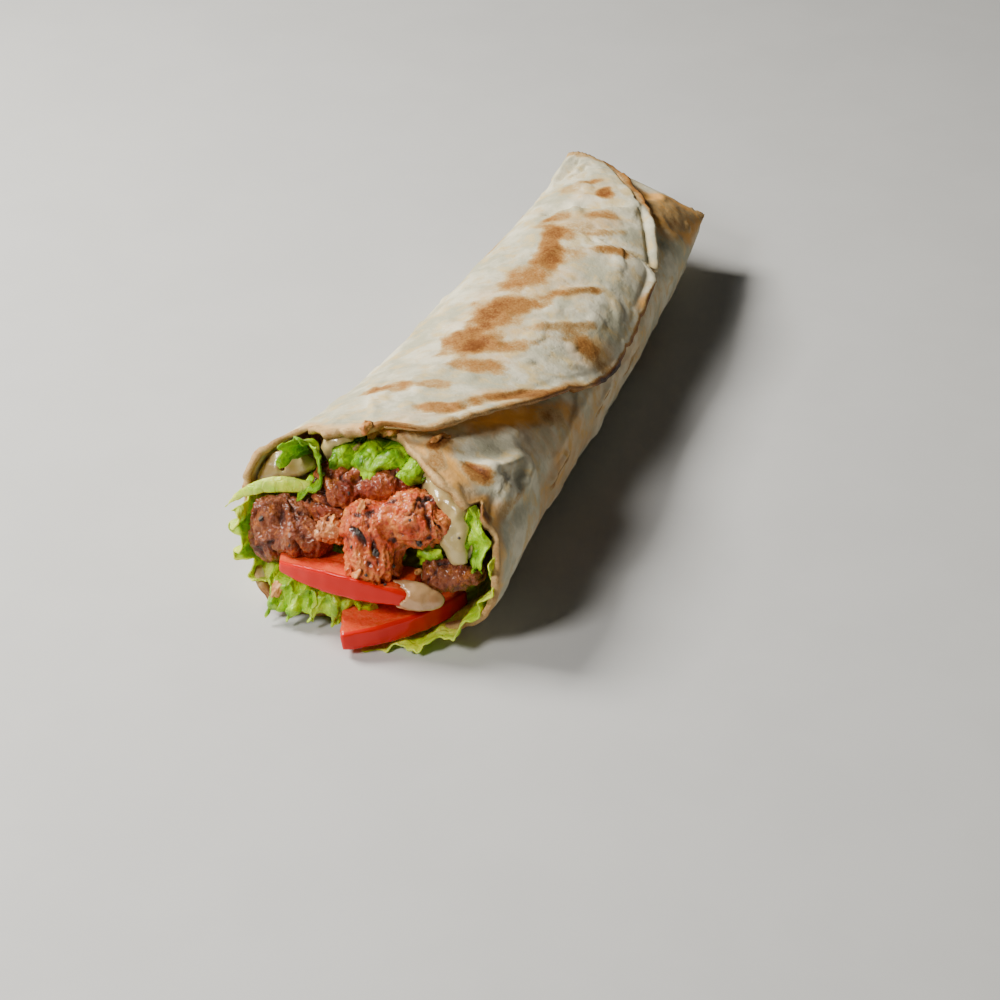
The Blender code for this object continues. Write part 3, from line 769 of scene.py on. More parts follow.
@dataclass(frozen=True)
class LeafFinish:
    """Moist lettuce leaf with a net of pale veins."""

    name: str
    bright: Colour = (0.48, 0.82, 0.004)
    deep: Colour = (0.10, 0.30, 0.001)
    pale: Colour = (0.70, 0.90, 0.06)
    paleness: float = 0.28
    wander: float = 0.0022

    def make(self) -> bpy.types.Material:
        """Builds the material.

        Returns:
            The material.
        """
        material, nodes, shader = new_finish(
            self.name, roughness=0.35, subsurface_weight=0.3, subsurface_scale=0.002,
            subsurface_radius=(0.6, 1.0, 0.05), coat_weight=0.08, coat_roughness=0.2,
            specular_ior_level=0.3,
        )
        place = nodes.place()
        drift = nodes.add("ShaderNodeTexNoise", vector=place, scale=260.0)
        shifted = nodes.add("ShaderNodeVectorMath", operation="MULTIPLY_ADD")
        terms = (drift.outputs["Color"], (self.wander,) * 3, place)
        for socket, value in zip(shifted.inputs, terms):
            nodes.put(value, socket)
        net = nodes.ramp(nodes.cells(4.2, shifted.outputs[0], "DISTANCE_TO_EDGE"), 0.11, 0.0)
        fine = nodes.ramp(nodes.cells(1.5, shifted.outputs[0], "DISTANCE_TO_EDGE"), 0.12, 0.0)
        patches = nodes.ramp(nodes.grain(7.0, place, 4.0, 0.6), 0.36, 0.64)
        colour = nodes.blend(patches, self.deep, self.bright)
        pale = nodes.plus(nodes.times(net, 0.10), nodes.times(fine, 0.05))
        pale = nodes.plus(pale, nodes.times(nodes.attribute("rib"), 0.9))
        clouds = nodes.ramp(nodes.grain(9.0, place, 2.0), 0.35, 0.7)
        pale = nodes.plus(pale, nodes.times(clouds, self.paleness))
        colour = nodes.blend(nodes.math("MINIMUM", pale, 1.0), colour, self.pale)
        height = nodes.minus(nodes.grain(3.0, place, 3.0), nodes.times(net, 0.14))
        rough = nodes.scaled(nodes.grain(5.0, place), 0.35, 0.14)
        nodes.feed(shader, base_color=colour, normal=nodes.bump(height, 0.9, 0.8), roughness=rough)
        return material


@dataclass(frozen=True)
class MeatFinish:
    """Roasted shaved meat: red-brown fibres, orange fat, painted shade and char in its clefts, a
    wet gloss.
    """

    name: str
    # deep is painted shade in the clefts and between the ridges.
    deep: Colour = (0.095, 0.014, 0.004)
    red: Colour = (0.26, 0.028, 0.005)
    pink: Colour = (0.42, 0.095, 0.020)
    orange: Colour = (0.78, 0.225, 0.018)
    char: Colour = (0.025, 0.006, 0.003)
    fat: float = 0.35
    stretch: Colour = (1.0, 1.0, 0.34)
    turn: Colour = (0.5, 0.7, 0.3)

    def make(self) -> bpy.types.Material:
        """Builds the material.

        Returns:
            The material.
        """
        material, nodes, shader = new_finish(
            self.name, roughness=0.4, coat_weight=0.45, coat_roughness=0.12,
            specular_ior_level=0.35,
        )
        place = nodes.place()
        along = nodes.add("ShaderNodeMapping", vector=place, scale=self.stretch, rotation=self.turn)
        fibre = nodes.grain(1.5, along.outputs[0], 4.0, 0.65, 0.8)
        lumps = nodes.grain(5.5, place, 3.0, 0.6, 0.4)
        colour = nodes.blend(nodes.ramp(lumps, 0.34, 0.62), self.red, self.pink)
        colour = nodes.blend(nodes.ramp(fibre, 0.42, 0.68), colour, self.red)
        lean = 0.56 + 0.1 * (0.35 - self.fat)
        fat = nodes.ramp(nodes.grain(3.6, place, 4.0, 0.6, 1.0), lean, 0.68)
        colour = nodes.blend(nodes.times(fat, 0.85), colour, self.orange)
        uneven = nodes.minus(nodes.grain(2.4, place, 3.0), 0.5)
        # Painted shade in clefts and between ridges, near black as char where deepest.
        dark = nodes.scaled(uneven, 0.8, nodes.attribute("char_and_crevice_shade"))
        colour = nodes.blend(nodes.ramp(dark, 0.22, 0.75), colour, self.deep)
        colour = nodes.blend(nodes.ramp(dark, 0.85, 1.15), colour, self.char)
        fine = nodes.grain(0.7, place, 3.0, 0.7)
        relief = nodes.plus(nodes.times(fibre, 0.7), nodes.times(fine, 0.6))
        rough = nodes.scaled(nodes.grain(2.2, place), 0.4, 0.24)
        nodes.feed(shader, base_color=colour, normal=nodes.bump(relief, 0.9), roughness=rough)
        return material


@dataclass(frozen=True)
class TomatoFinish:
    """Tomato slice: deep glossy skin and lighter wet flesh."""

    name: str
    skin: Colour = (0.66, 0.008, 0.002)
    flesh: Colour = (0.80, 0.080, 0.025)
    light: Colour = (0.90, 0.240, 0.090)

    def make(self) -> bpy.types.Material:
        """Builds the material.

        Returns:
            The material.
        """
        material, nodes, shader = new_finish(
            self.name, roughness=0.3, subsurface_weight=0.25, subsurface_scale=0.003,
            subsurface_radius=(1.0, 0.10, 0.03), coat_weight=0.06, coat_roughness=0.1,
            specular_ior_level=0.25,
        )
        place = nodes.place()
        skin = nodes.attribute("skin")
        flecks = nodes.ramp(nodes.grain(2.0, place, 4.0, 0.65, 0.5), 0.45, 0.75)
        cut = nodes.blend(nodes.times(flecks, 0.55), self.flesh, self.light)
        streak = nodes.ramp(nodes.grain(9.0, place, 2.0), 0.4, 0.7)
        cut = nodes.blend(nodes.times(streak, 0.35), cut, self.skin)
        height = nodes.times(nodes.grain(1.1, place, 3.0), nodes.minus(1.15, skin))
        colour = nodes.blend(skin, cut, self.skin)
        rough = nodes.scaled(nodes.grain(3.0, place), 0.25, 0.08)
        nodes.feed(shader, base_color=colour, normal=nodes.bump(height, 0.35, 0.6), roughness=rough)
        return material


@dataclass(frozen=True)
class SauceFinish:
    """Thick cream sauce with a wet skin and a few fine specks."""

    name: str
    cream: Colour = (0.54, 0.42, 0.175)
    warm: Colour = (0.48, 0.29, 0.10)
    fleck: Colour = (0.14, 0.10, 0.05)

    def make(self) -> bpy.types.Material:
        """Builds the material.

        Returns:
            The material.
        """
        material, nodes, shader = new_finish(
            self.name, roughness=0.25, subsurface_weight=0.3, subsurface_scale=0.002,
            subsurface_radius=(1.0, 0.8, 0.5), coat_weight=0.6, coat_roughness=0.06,
        )
        place = nodes.place()
        patches = nodes.ramp(nodes.grain(8.0, place, 3.0), 0.42, 0.75)
        colour = nodes.blend(patches, self.cream, self.warm)
        speck = nodes.ramp(nodes.cells(2.6, place), 0.12, 0.05)
        speck = nodes.times(speck, nodes.ramp(nodes.grain(4.0, place), 0.5, 0.6))
        colour = nodes.blend(nodes.times(speck, 0.6), colour, self.fleck)
        relief = nodes.bump(nodes.grain(4.0, place, 3.0), 0.5, 0.5)
        rough = nodes.scaled(nodes.grain(3.0, place), 0.3, 0.1)
        nodes.feed(shader, base_color=colour, normal=relief, roughness=rough)
        return material


@dataclass(frozen=True)
class GritFinish:
    """Plain rough finish with some mottling, for pepper, crumbs and the floor."""

    name: str
    base: Colour
    other: Colour
    size: float = 1.0
    roughness: float = 0.6
    relief: float = 0.3

    def make(self) -> bpy.types.Material:
        """Builds the material.

        Returns:
            The material.
        """
        material, nodes, shader = new_finish(self.name, roughness=self.roughness)
        mottle = nodes.grain(self.size, nodes.place(), 4.0, 0.6)
        colour = nodes.blend(nodes.ramp(mottle, 0.35, 0.65), self.base, self.other)
        nodes.feed(shader, base_color=colour, normal=nodes.bump(mottle, self.relief, 0.6))
        return material


@dataclass
class Flatbread:
    """The rolled sheet of bread, one and a third turns with a loose edge across the top."""

    pitch: float = 2.0
    wall_share: float = 0.8
    level_angle: float = 200.0
    outer_turn: float = 380.0
    inner_end: float = 480.0
    lift_reach: float = 48.0
    lip_flare: float = 2.4
    wave_height: float = 0.7
    wave_length: float = 27.0
    lip_width: float = 4.6
    rim_swell: float = 0.42
    radius: float = 37.0
    first_layer: float = 200.0
    below: float = 350.0
    columns: Runs = ((0.0, 205.0, 128), (205.0, 350.0, 54), (350.0, 480.0, 70))
    rows: Runs = ((MOUTH_Y, -78.0, 38), (-78.0, 96.0, 126), (96.0, FAR_Y, 24))
    spots: Rows = TOASTED
    folds: Rows = FOLDS
    golden_and_painted_light: Rows = GOLD_AND_PAINTED_LIGHT
    # Pocket that emits a painted glow: y, winding angle, half lengths along and round, half width.
    painted_glow_place: tuple[float, ...] = (-61.0, 413.0, 16.0, -10.0, 6.0)
    finish: BreadFinish = field(default_factory=lambda: BreadFinish("bread_outside"))
    inside: BreadFinish = field(default_factory=lambda: BreadFinish("bread_inside", warmth=0.02))

    def stations(self, runs: Runs) -> np.ndarray:
        """Values of all the runs joined, the last one's end too."""
        parts = [np.linspace(low, high, count, endpoint=False) for low, high, count in runs]
        return np.concatenate([*parts, [runs[-1][1]]])

    def wind(self, column: np.ndarray, row: np.ndarray) -> tuple[np.ndarray, np.ndarray]:
        """Winding angle and y of each point of the sheet, drawn out to its edges.

        Args:
            column: the winding angle of each point on a plain sheet.
            row: its y on that sheet.

        Returns:
            The angle and y on the real sheet.
        """
        fan = np.interp(row, (-80.0, 60.0), (146.0, 200.0))

        def spread(border: np.ndarray) -> np.ndarray:
            """Column pulled towards the sheet's outer edge."""
            return np.where(column < fan, border + (fan - border) * column / fan, column)

        front = np.clip((-72.0 - row) / 40.0, 0.0, 1.0)
        back = np.clip((row - 94.0) / 28.0, 0.0, 1.0)
        first = spread(np.full(row.shape, BORDER[0][1]))
        last = spread(np.full(row.shape, BORDER[-1][1]))
        y = row + (rim_at(first)[:, 0] + self.ragged(first, 0.0) - MOUTH_Y) * front
        y = y + (end_rim_at(last)[:, 0] + self.ragged(last, 9.0) - FAR_Y) * back
        return spread(edge_at(y)), y

    def ragged(self, angle: np.ndarray, seed: float) -> np.ndarray:
        """How far a torn rim runs in or out at each angle."""
        line = np.stack([angle * 0.65, np.full(angle.shape, seed), np.zeros(angle.shape)], axis=-1)
        return 1.5 * noise_at(line, 6.0, seed) + 0.8 * noise_at(line, 2.2, seed)

    def arc(self, angle: np.ndarray) -> np.ndarray:
        """Length round the roll of an angle in degrees."""
        return angle * math.pi / 180.0 * self.radius

    def spot_share(
        self, y: np.ndarray, angle: np.ndarray, spot: Iterable[float],
    ) -> tuple[np.ndarray, np.ndarray]:
        """Place of each point in a spot's own axes.

        Args:
            y: the points' places along the roll.
            angle: their winding angles.
            spot: y, winding angle, half length along the roll and round it, half width.

        Returns:
            The places in shares of its half length and of its half width.
        """
        centre, turn, run, climb, half_width = spot
        along, across = y - centre, self.arc(angle - turn)
        length = math.hypot(run, climb)
        a = (along * run + across * climb) / length
        b = (across * run - along * climb) / length
        return a / length, b / half_width

    def toast(self, y: np.ndarray, angle: np.ndarray, points: np.ndarray) -> np.ndarray:
        """How toasted each point is, from 0 to about 1.

        Args:
            y: the points' places along the roll.
            angle: their winding angles.
            points: the points in millimetres.

        Returns:
            The toasting of each point.
        """
        bend = 0.62 * noise_at(points, 9.0, 2.0) + 0.34 * noise_at(points, 3.6, 3.0)
        left = np.ones(len(y))
        for *spot, strength in self.spots:
            a, b = self.spot_share(y, angle, spot)
            reach = np.hypot(a, b) + bend
            left = left * (1.0 - strength * smoothstep(1.45, 0.50, reach))
        edge = self.arc(angle - edge_at(y))
        width = 3.2 + 3.0 * bend
        border = edge_toast_at(y)[:, 0] * smoothstep(1.0, 0.25, edge / np.maximum(width, 1.2))
        left = left * (1.0 - border)
        rim = y - rim_at(angle)[:, 0]
        left = left * (1.0 - 0.42 * smoothstep(2.8, 0.2, rim + 3.0 * bend))
        tip = 120.0 - y
        left = left * (1.0 - 0.4 * smoothstep(4.0, 0.5, tip + 3.0 * bend))
        strip = smoothstep(6.5, 4.5, edge) * smoothstep(84.0, 90.0, y)
        return 1.0 - left * (1.0 - 0.42 * strip)

    def gold_and_painted_light(self, y: np.ndarray, angle: np.ndarray, points: np.ndarray) -> np.ndarray:
        """How golden each point is, from 0 to 1: softer and wider than the toasting, with painted
        glow and warm shade.

        Args:
            y: the points' places along the roll.
            angle: their winding angles.
            points: the points in millimetres.

        Returns:
            The gold, with its painted light, of each point.
        """
        bend = 0.5 * noise_at(points, 14.0, 12.0) + 0.2 * noise_at(points, 5.0, 13.0)
        left = np.ones(len(y))
        for *spot, strength in self.golden_and_painted_light:
            a, b = self.spot_share(y, angle, spot)
            left = left * (1.0 - strength * smoothstep(1.6, 0.35, np.hypot(a, b) + bend))
        rim = y - rim_at(angle)[:, 0]
        left = left * (1.0 - 0.62 * smoothstep(8.0, 0.5, rim + 4.0 * bend))
        return 1.0 - left

    def relief(self, y: np.ndarray, angle: np.ndarray, points: np.ndarray) -> np.ndarray:
        """Height of folds, blisters, dents and the rolled lip at each point.

        Args:
            y: the points' places along the roll.
            angle: their winding angles.
            points: the points in millimetres.

        Returns:
            The height of each point in millimetres.
        """
        height = 0.55 * noise_at(points * (1.0, 0.6, 1.0), 9.0, 5.0)
        height = height + 0.14 * noise_at(points, 3.0, 6.0)
        height = height + 0.06 * noise_at(points, 1.4, 7.0)
        blister = smoothstep(0.24, 0.46, noise_at(points, 8.0, 8.0))
        height = height + 0.55 * blister
        turned = angle % 360.0
        for *fold, rise in self.folds:
            a, b = self.spot_share(y, angle if fold[1] > self.below else turned, fold)
            b = b + 1.3 * noise_at(points, 8.0, 9.0)
            height = height + rise * np.exp(-b * b) * smoothstep(1.0, 0.45, np.abs(a))
        edge = self.arc(angle - edge_at(y))
        share = np.clip(edge / self.lip_width, 0.0, 1.0)
        lip_height = lip_at(y)[:, 0]
        lip = lip_height * np.sin(np.pi * share ** 0.75)
        groove = -0.45 * lip_height * np.exp(-((edge - self.lip_width - 1.2) / 1.2) ** 2)
        step = 0.8 * smoothstep(83.0, 88.0, y) * smoothstep(4.6, 5.6, edge) * (angle < 300.0)
        height = height + (lip + groove) * (angle < self.first_layer)
        return height + step * smoothstep(24.0, 10.0, edge)

    def make_mesh(self) -> bpy.types.Object:
        """Winds a fine grid into the roll and gives it its wall.

        Returns:
            The sheet without its materials.
        """
        columns, rows = self.stations(self.columns), self.stations(self.rows)
        piece = grid("bread_sheet", len(columns) - 1, len(rows) - 1)
        flat = coordinates(piece.data) * MM
        column = columns[np.rint((flat[:, 0] + 0.5) * (len(columns) - 1)).astype(int)]
        row = rows[np.rint((flat[:, 1] + 0.5) * (len(rows) - 1)).astype(int)]
        angle, y = self.wind(column, row)
        turned = angle % 360.0
        smooth = on_roll(y, turned, np.zeros(len(y)))
        pitch = self.pitch * (1.0 - 0.2 * np.clip((y - 92.0) / 30.0, 0.0, 1.0))
        rho = pitch * (self.level_angle - angle) / 360.0
        reach = np.clip((angle - edge_at(y)) / self.lift_reach, 0.0, 1.0)
        rho = rho + lift_at(y)[:, 0] * (1.0 - reach) ** 2
        flare = np.exp(-((angle - 143.0) / 16.0) ** 2) * np.clip((-88.0 - y) / 18.0, 0.0, 1.0)
        rho = rho + self.lip_flare * flare
        turn = np.radians(angle)
        ring = np.stack([1.3 * np.cos(turn), 1.3 * np.sin(turn), y / self.wave_length], axis=-1)
        calm = np.clip((124.0 - y) / 30.0, 0.15, 1.0)
        rho = rho + self.wave_height * noise_at(ring, 1.0) * calm
        toast = self.toast(y, angle, smooth)
        calm_end = np.clip((126.0 - y) / 18.0, 0.3, 1.0)
        rho = rho + self.relief(y, angle, smooth) * calm_end
        wall = self.wall_share * pitch
        floor = np.where(angle > self.outer_turn, self.pitch, 0.0)
        move_points(piece.data, on_roll(y, angle, rho, floor))
        write_attribute(piece.data, "toast", toast)
        write_attribute(piece.data, "gold_and_painted_light", self.gold_and_painted_light(y, angle, smooth))
        # Painted glow in the pocket under the lifted edge, for the emission.
        a, b = self.spot_share(y, angle, self.painted_glow_place)
        write_attribute(piece.data, "painted_glow", smoothstep(1.3, 0.2, np.hypot(a, b)))
        rim = smoothstep(2.6, 0.4, np.minimum(y - rim_at(angle)[:, 0], 0.7 * (angle - edge_at(y))))
        self.turn_out(piece)
        write_attribute(piece.data, "rim", rim)
        thickness = float(wall.max()) * MM
        modify(piece, "SOLIDIFY", thickness=thickness, offset=-1.0, material_offset=1, use_rim=True)
        mesh = piece.data
        found = np.empty(len(mesh.vertices), np.float32)
        mesh.attributes["rim"].data.foreach_get("value", found)
        swell = self.rim_swell * found * (0.75 + 1.4 * noise_at(coordinates(mesh), 4.5, 14.0))
        raise_points(mesh, swell)
        return piece

    def turn_out(self, piece: bpy.types.Object) -> None:
        """Turns the open sheet's faces away from the roll's middle.

        Args:
            piece: the sheet, before it has a wall.
        """
        mesh = piece.data
        outward = coordinates(mesh) - np.array(ROLL_MIDDLE)
        outward[:, 1] = 0.0
        if np.sum(normals(mesh) * outward) < 0.0:
            mesh.flip_normals()

    def build(self, grain: bpy.types.NodeTree) -> bpy.types.Object:
        """Makes and dresses the sheet.

        Args:
            grain: the shared crumb relief.

        Returns:
            The sheet.
        """
        piece = self.make_mesh()
        dress(piece, Food.BREAD, ("bread",), self.finish.make(grain), self.inside.make(grain))
        return piece


def leaf_left(s: float, t: float) -> Vector:
    """Leaf along the left wall that stands out of the mouth.

    Args:
        s: share across the leaf.
        t: share along it, 1 at its free edge.

    Returns:
        The point in millimetres.
    """
    reach = 29.0 + 2.0 * math.sin(s * 19.0 + 0.6) + 2.0 * s
    ruffle = 1.7 * t * t * math.sin(s * 27.0 + 2.0 * t)
    return Vector(on_roll(-92.0 - reach * t, mix(172.0, 234.0, s), -3.7 + ruffle + 1.8 * t ** 3))


def leaf_side(s: float, t: float) -> Vector:
    """Pale leaf under the right wall, its edge past the rim down to the ground.

    Args:
        s: share across the leaf.
        t: share along it, 1 at its free edge.

    Returns:
        The point in millimetres.
    """
    front = -133.0 + 13.0 * min(s * 1.5, 1.0) + 1.2 * math.sin(s * 23.0)
    ruffle = 1.1 * t * t * math.sin(s * 34.0)
    return Vector(on_roll(mix(-92.0, front, t), mix(-84.0, 12.0, s), -3.3 + ruffle + 1.0 * t))


def leaf_frill(s: float, t: float) -> Vector:
    """Ruffled leaf that comes out under the left tomato slice and hangs to the ground.

    Args:
        s: share across the leaf.
        t: share along it, 1 at its free edge.

    Returns:
        The point in millimetres.
    """
    hang = max(t - 0.4, 0.0) / 0.6
    fold = math.sin(s * 31.0 + 0.8 + 1.5 * t)
    crimp = abs(math.sin(s * 44.0 + 2.5 * t)) - 0.6
    x = mix(-25.0, 9.0, s) + 1.5 * math.cos(s * 31.0) * hang
    y = -100.0 - 27.0 * min(t * 2.0, 1.0) - 2.0 * hang + 2.3 * fold * hang
    y = y + 1.8 * crimp * hang + 5.0 * s * s * t
    z = 12.8 - 8.6 * hang ** 1.1 + 1.3 * fold * min(t * 1.6, 1.0) + 1.2 * crimp * hang
    return Vector((x, y, z))


def leaf_top(s: float, t: float) -> Vector:
    """Folded leaf that hangs from the top of the mouth.

    Args:
        s: share across the leaf.
        t: share along it, 1 at its free edge.

    Returns:
        The point in millimetres.
    """
    hang = max(t - 0.5, 0.0) / 0.5
    crease = abs(math.sin(s * 12.0 + 1.2 * t)) - 0.6
    y = -86.0 - 21.5 * min(t / 0.75, 1.0) - 2.2 * math.sin(s * 15.0 + 1.5 * t) * t
    y = y - 1.5 * crease * t
    droop = (6.0 + 1.8 * math.sin(s * 8.0 - 0.5)) * (1.0 - 0.55 * s ** 3)
    rho = -4.0 - droop * hang ** 1.2 + 3.0 * t * crease
    return Vector(on_roll(y, mix(112.0, 68.0, s), rho))


# Line of the bent leaf's outer edge at the mouth: share of its length, x, z.
CURL_LINE: Rows = (
    (0.0, -26.5, 43.5), (0.16, -25.6, 50.5), (0.34, -19.5, 54.6), (0.52, -13.4, 53.6),
    (0.66, -11.0, 48.5), (0.8, -12.3, 42.5), (0.91, -15.6, 37.2), (1.0, -19.8, 35.2),
)
curl_line_at = curve(CURL_LINE)


def leaf_curl(s: float, t: float) -> Vector:
    """Leaf bent round in an arch at the upper left of the mouth, sloping down inward.

    Args:
        s: share across the leaf.
        t: share along it, 1 at its free edge.

    Returns:
        The point in millimetres.
    """
    x, z = (float(value) for value in curl_line_at(np.array(s)))
    inward = Vector((-18.8 - x, 0.0, 46.0 - z)).normalized()
    frill = math.sin(s * 40.0 + 3.0 * t)
    back = max(1.0 - t, 0.0)
    y = -112.3 - 1.6 * s + 13.0 * back ** 1.5 + 1.2 * frill * t
    reach = 5.0 * back * (1.0 + 0.35 * math.sin(s * 13.0)) + 0.75 * frill * t
    return Vector((x, y, z)) + inward * reach + Vector((-2.0, 0.0, -4.5)) * back ** 2


def leaf_right(s: float, t: float) -> Vector:
    """Small leaf that hangs out over the rim beside the notch in the bread.

    Args:
        s: share across the leaf.
        t: share along it, 1 at its free edge.

    Returns:
        The point in millimetres.
    """
    middle = Vector((34.3, -110.5, 44.5)).lerp(Vector((38.2, -118.0, 27.0)), t)
    width = 2.0 + 7.6 * max(math.sin(math.pi * min(t * 0.95, 1.0)), 0.0) ** 1.4
    across = Vector((0.94, -0.3, 0.12)) * width * (s - 0.35 + 0.08 * math.sin(t * 17.0))
    crumple = 1.0 * math.sin(t * 13.0 + s * 4.0) + 0.6 * math.sin(t * 5.0 - s * 9.0)
    return middle + across + Vector((0.0, -1.0, 0.3)) * crumple


def leaf_inner(s: float, t: float) -> Vector:
    """Scrap of leaf between the meat pieces."""
    z = mix(31.0, 22.5, t) + 0.8 * math.sin(s * 8.0)
    return Vector((mix(19.5, 28.0, s), -115.5 + 1.0 * math.sin(t * 9.0 + s * 4.0) - 1.5 * s, z))


@dataclass
class Leaf:
    """One lettuce leaf: a ruffled sheet with ribs, a jagged free edge and a thin wall."""

    name: str
    node: str
    surface: Surface
    columns: int
    rows: int
    finish: bpy.types.Material
    ruffle: float = 0.55
    jag: float = 0.10
    seed: float = 1.0
    wall: float = 0.6
    ground: float = 0.3

    def points(self, shares: np.ndarray) -> np.ndarray:
        """Points of the leaf for pairs of shares across and along.

        Args:
            shares: an array of the pairs.

        Returns:
            The points in millimetres.
        """
        edge = np.array([
            noise.noise(Vector((s * 9.0, self.seed, 0.0)))
            + 0.6 * noise.noise(Vector((s * 24.0, self.seed, 4.0)))
            for s in shares[:, 0]
        ])
        along = shares[:, 1] * (1.0 - self.jag * np.maximum(edge, -0.6) * shares[:, 1] ** 2)
        return np.array([self.surface(float(s), float(t)) for s, t in zip(shares[:, 0], along)])

    def build(self) -> bpy.types.Object:
        """Makes and dresses the leaf.

        Returns:
            The leaf.
        """
        piece = grid(self.name, self.columns, self.rows)
        mesh = piece.data
        shares = coordinates(mesh)[:, :2] * MM + 0.5
        points = self.points(shares)
        move_points(mesh, points)
        free = smoothstep(0.2, 1.0, shares[:, 1])
        swell = 2.8 * noise_at(points, 7.0, self.seed)
        swell = swell + 1.5 * noise_at(points, 2.8, self.seed + 1.0)
        swell = self.ruffle * (swell + 0.5 * noise_at(points, 1.3, self.seed + 2.0))
        bend = 1.2 * np.sin(shares[:, 1] * 4.0 + self.seed)
        fan = np.abs(np.sin(shares[:, 0] * 7.0 * math.pi + bend))
        rib = smoothstep(0.16, 0.0, fan) * smoothstep(1.0, 0.35, shares[:, 1])
        points = points + normals(mesh) * (swell * (0.35 + 0.65 * free) + 0.35 * rib)[:, None]
        points[:, 2] = np.maximum(points[:, 2], self.ground)
        move_points(mesh, points)
        write_attribute(mesh, "rib", rib)
        modify(piece, "SOLIDIFY", thickness=self.wall * MM, offset=0.0, use_rim=True)
        edit_all(piece, bpy.ops.mesh.normals_make_consistent, inside=False)
        modify(piece, "SUBSURF", levels=1, render_levels=1)
        dress(piece, Food.LETTUCE, (self.node,), self.finish)
        return piece


# Slant of the meat's fibres.
FIBRE_TURN = np.array([[0.86, 0.30, -0.41], [-0.20, 0.94, 0.27], [0.47, -0.16, 0.87]])


@dataclass
class Meat:
    """A piece of shaved roast meat, reworked from its solid into clefts, lumps and fibres."""

    node: str
    finish: bpy.types.Material
    seed: float
    first_voxel: float = 0.7
    voxel: float = 0.42
    cleft: float = 1.2
    lump: float = 10.0
    crag: float = 0.8
    swell: float = 0.5
    closing: float = 1.0

    def build(self) -> bpy.types.Object:
        """Makes and dresses the piece.

        Returns:
            The piece.
        """
        piece = solid_copy(self.node, self.node + "_roast")
        remesh(piece, self.first_voxel, 0)
        raise_points(piece.data, self.swell + self.closing)
        remesh(piece, self.voxel, 6)
        raise_points(piece.data, -self.closing)
        mesh = piece.data
        points = coordinates(mesh)
        drift = np.stack([noise_at(points, 6.0, self.seed + k) for k in range(3)], axis=-1)
        bent = points @ FIBRE_TURN + 1.6 * drift
        bent = bent * (1.0, 1.0, 0.62) / self.lump + self.seed * 3.7
        gaps = []
        for point in bent:
            near = noise.voronoi(Vector(point))[0]
            gaps.append(near[1] - near[0])
        broken = smoothstep(-0.30, 0.1, noise_at(points, 7.0, self.seed + 9.0))
        cleft = smoothstep(0.13, 0.0, np.array(gaps)) * broken
        strands = bent * self.lump * (1.0, 1.0, 0.42)
        ridges = 1.0 - 2.0 * np.abs(noise_at(strands, 3.6, self.seed + 5.0))
        fine = 1.0 - 2.0 * np.abs(noise_at(strands, 1.7, self.seed + 7.0))
        height = self.crag * (ridges - 0.75) + 0.5 * (fine - 0.7)
        height = height + 1.1 * noise_at(points, 7.0, self.seed + 8.0)
        height = height + 0.5 * noise_at(points, 0.95, self.seed + 6.0) - self.cleft * cleft
        raise_points(mesh, height)
        # Painted shade: clefts and low ridges get darker, the deepest near black as char.
        char_and_crevice_shade = 0.6 * cleft + 0.7 * (0.66 - ridges) + 0.4 * (0.6 - fine)
        char_and_crevice_shade = char_and_crevice_shade - 0.5 * noise_at(points, 6.0, self.seed + 8.0)
        write_attribute(mesh, "char_and_crevice_shade", np.clip(char_and_crevice_shade, 0.0, 1.2))
        modify(piece, "SMOOTH", factor=0.25, iterations=1)
        dress(piece, Food.MEAT, (self.node,), self.finish)
        return piece


@dataclass
class Tomato:
    """A thick part slice of tomato, its skin forward."""

    node: str
    finish: bpy.types.Material
    centre: tuple[float, float]
    radius: float
    voxel: float = 0.5

    def build(self) -> bpy.types.Object:
        """Makes and dresses the slice.

        Returns:
            The piece.
        """
        piece = solid_copy(self.node, self.node + "_slice")
        remesh(piece, self.voxel, 4)
        mesh = piece.data
        points = coordinates(mesh)
        out = points[:, :2] - np.array(self.centre)
        distance = np.linalg.norm(out, axis=1)
        skin = smoothstep(self.radius - 1.7, self.radius - 0.9, distance)
        height = 0.22 * noise_at(points, 4.0, 3.0)
        height = height + (1.0 - skin) * 0.16 * noise_at(points, 1.3, 4.0)
        raise_points(mesh, height)
        write_attribute(mesh, "skin", skin)
        dress(piece, Food.TOMATO, (self.node,), self.finish)
        return piece


@dataclass
class Sauce:
    """A run of sauce, smoothed and slightly lumpy."""

    node: str
    finish: bpy.types.Material
    seed: float
    voxel: float = 0.6

    def build(self) -> bpy.types.Object:
        """Makes and dresses the run.

        Returns:
            The piece.
        """
        piece = solid_copy(self.node, self.node + "_run")
        remesh(piece, self.voxel, 5)
        mesh = piece.data
        points = coordinates(mesh)
        height = 0.9 * noise_at(points, 6.0, self.seed)
        height = height + 0.3 * noise_at(points, 2.4, self.seed + 1.0)
        raise_points(mesh, height)
        dress(piece, Food.SAUCE, (self.node,), self.finish)
        return piece


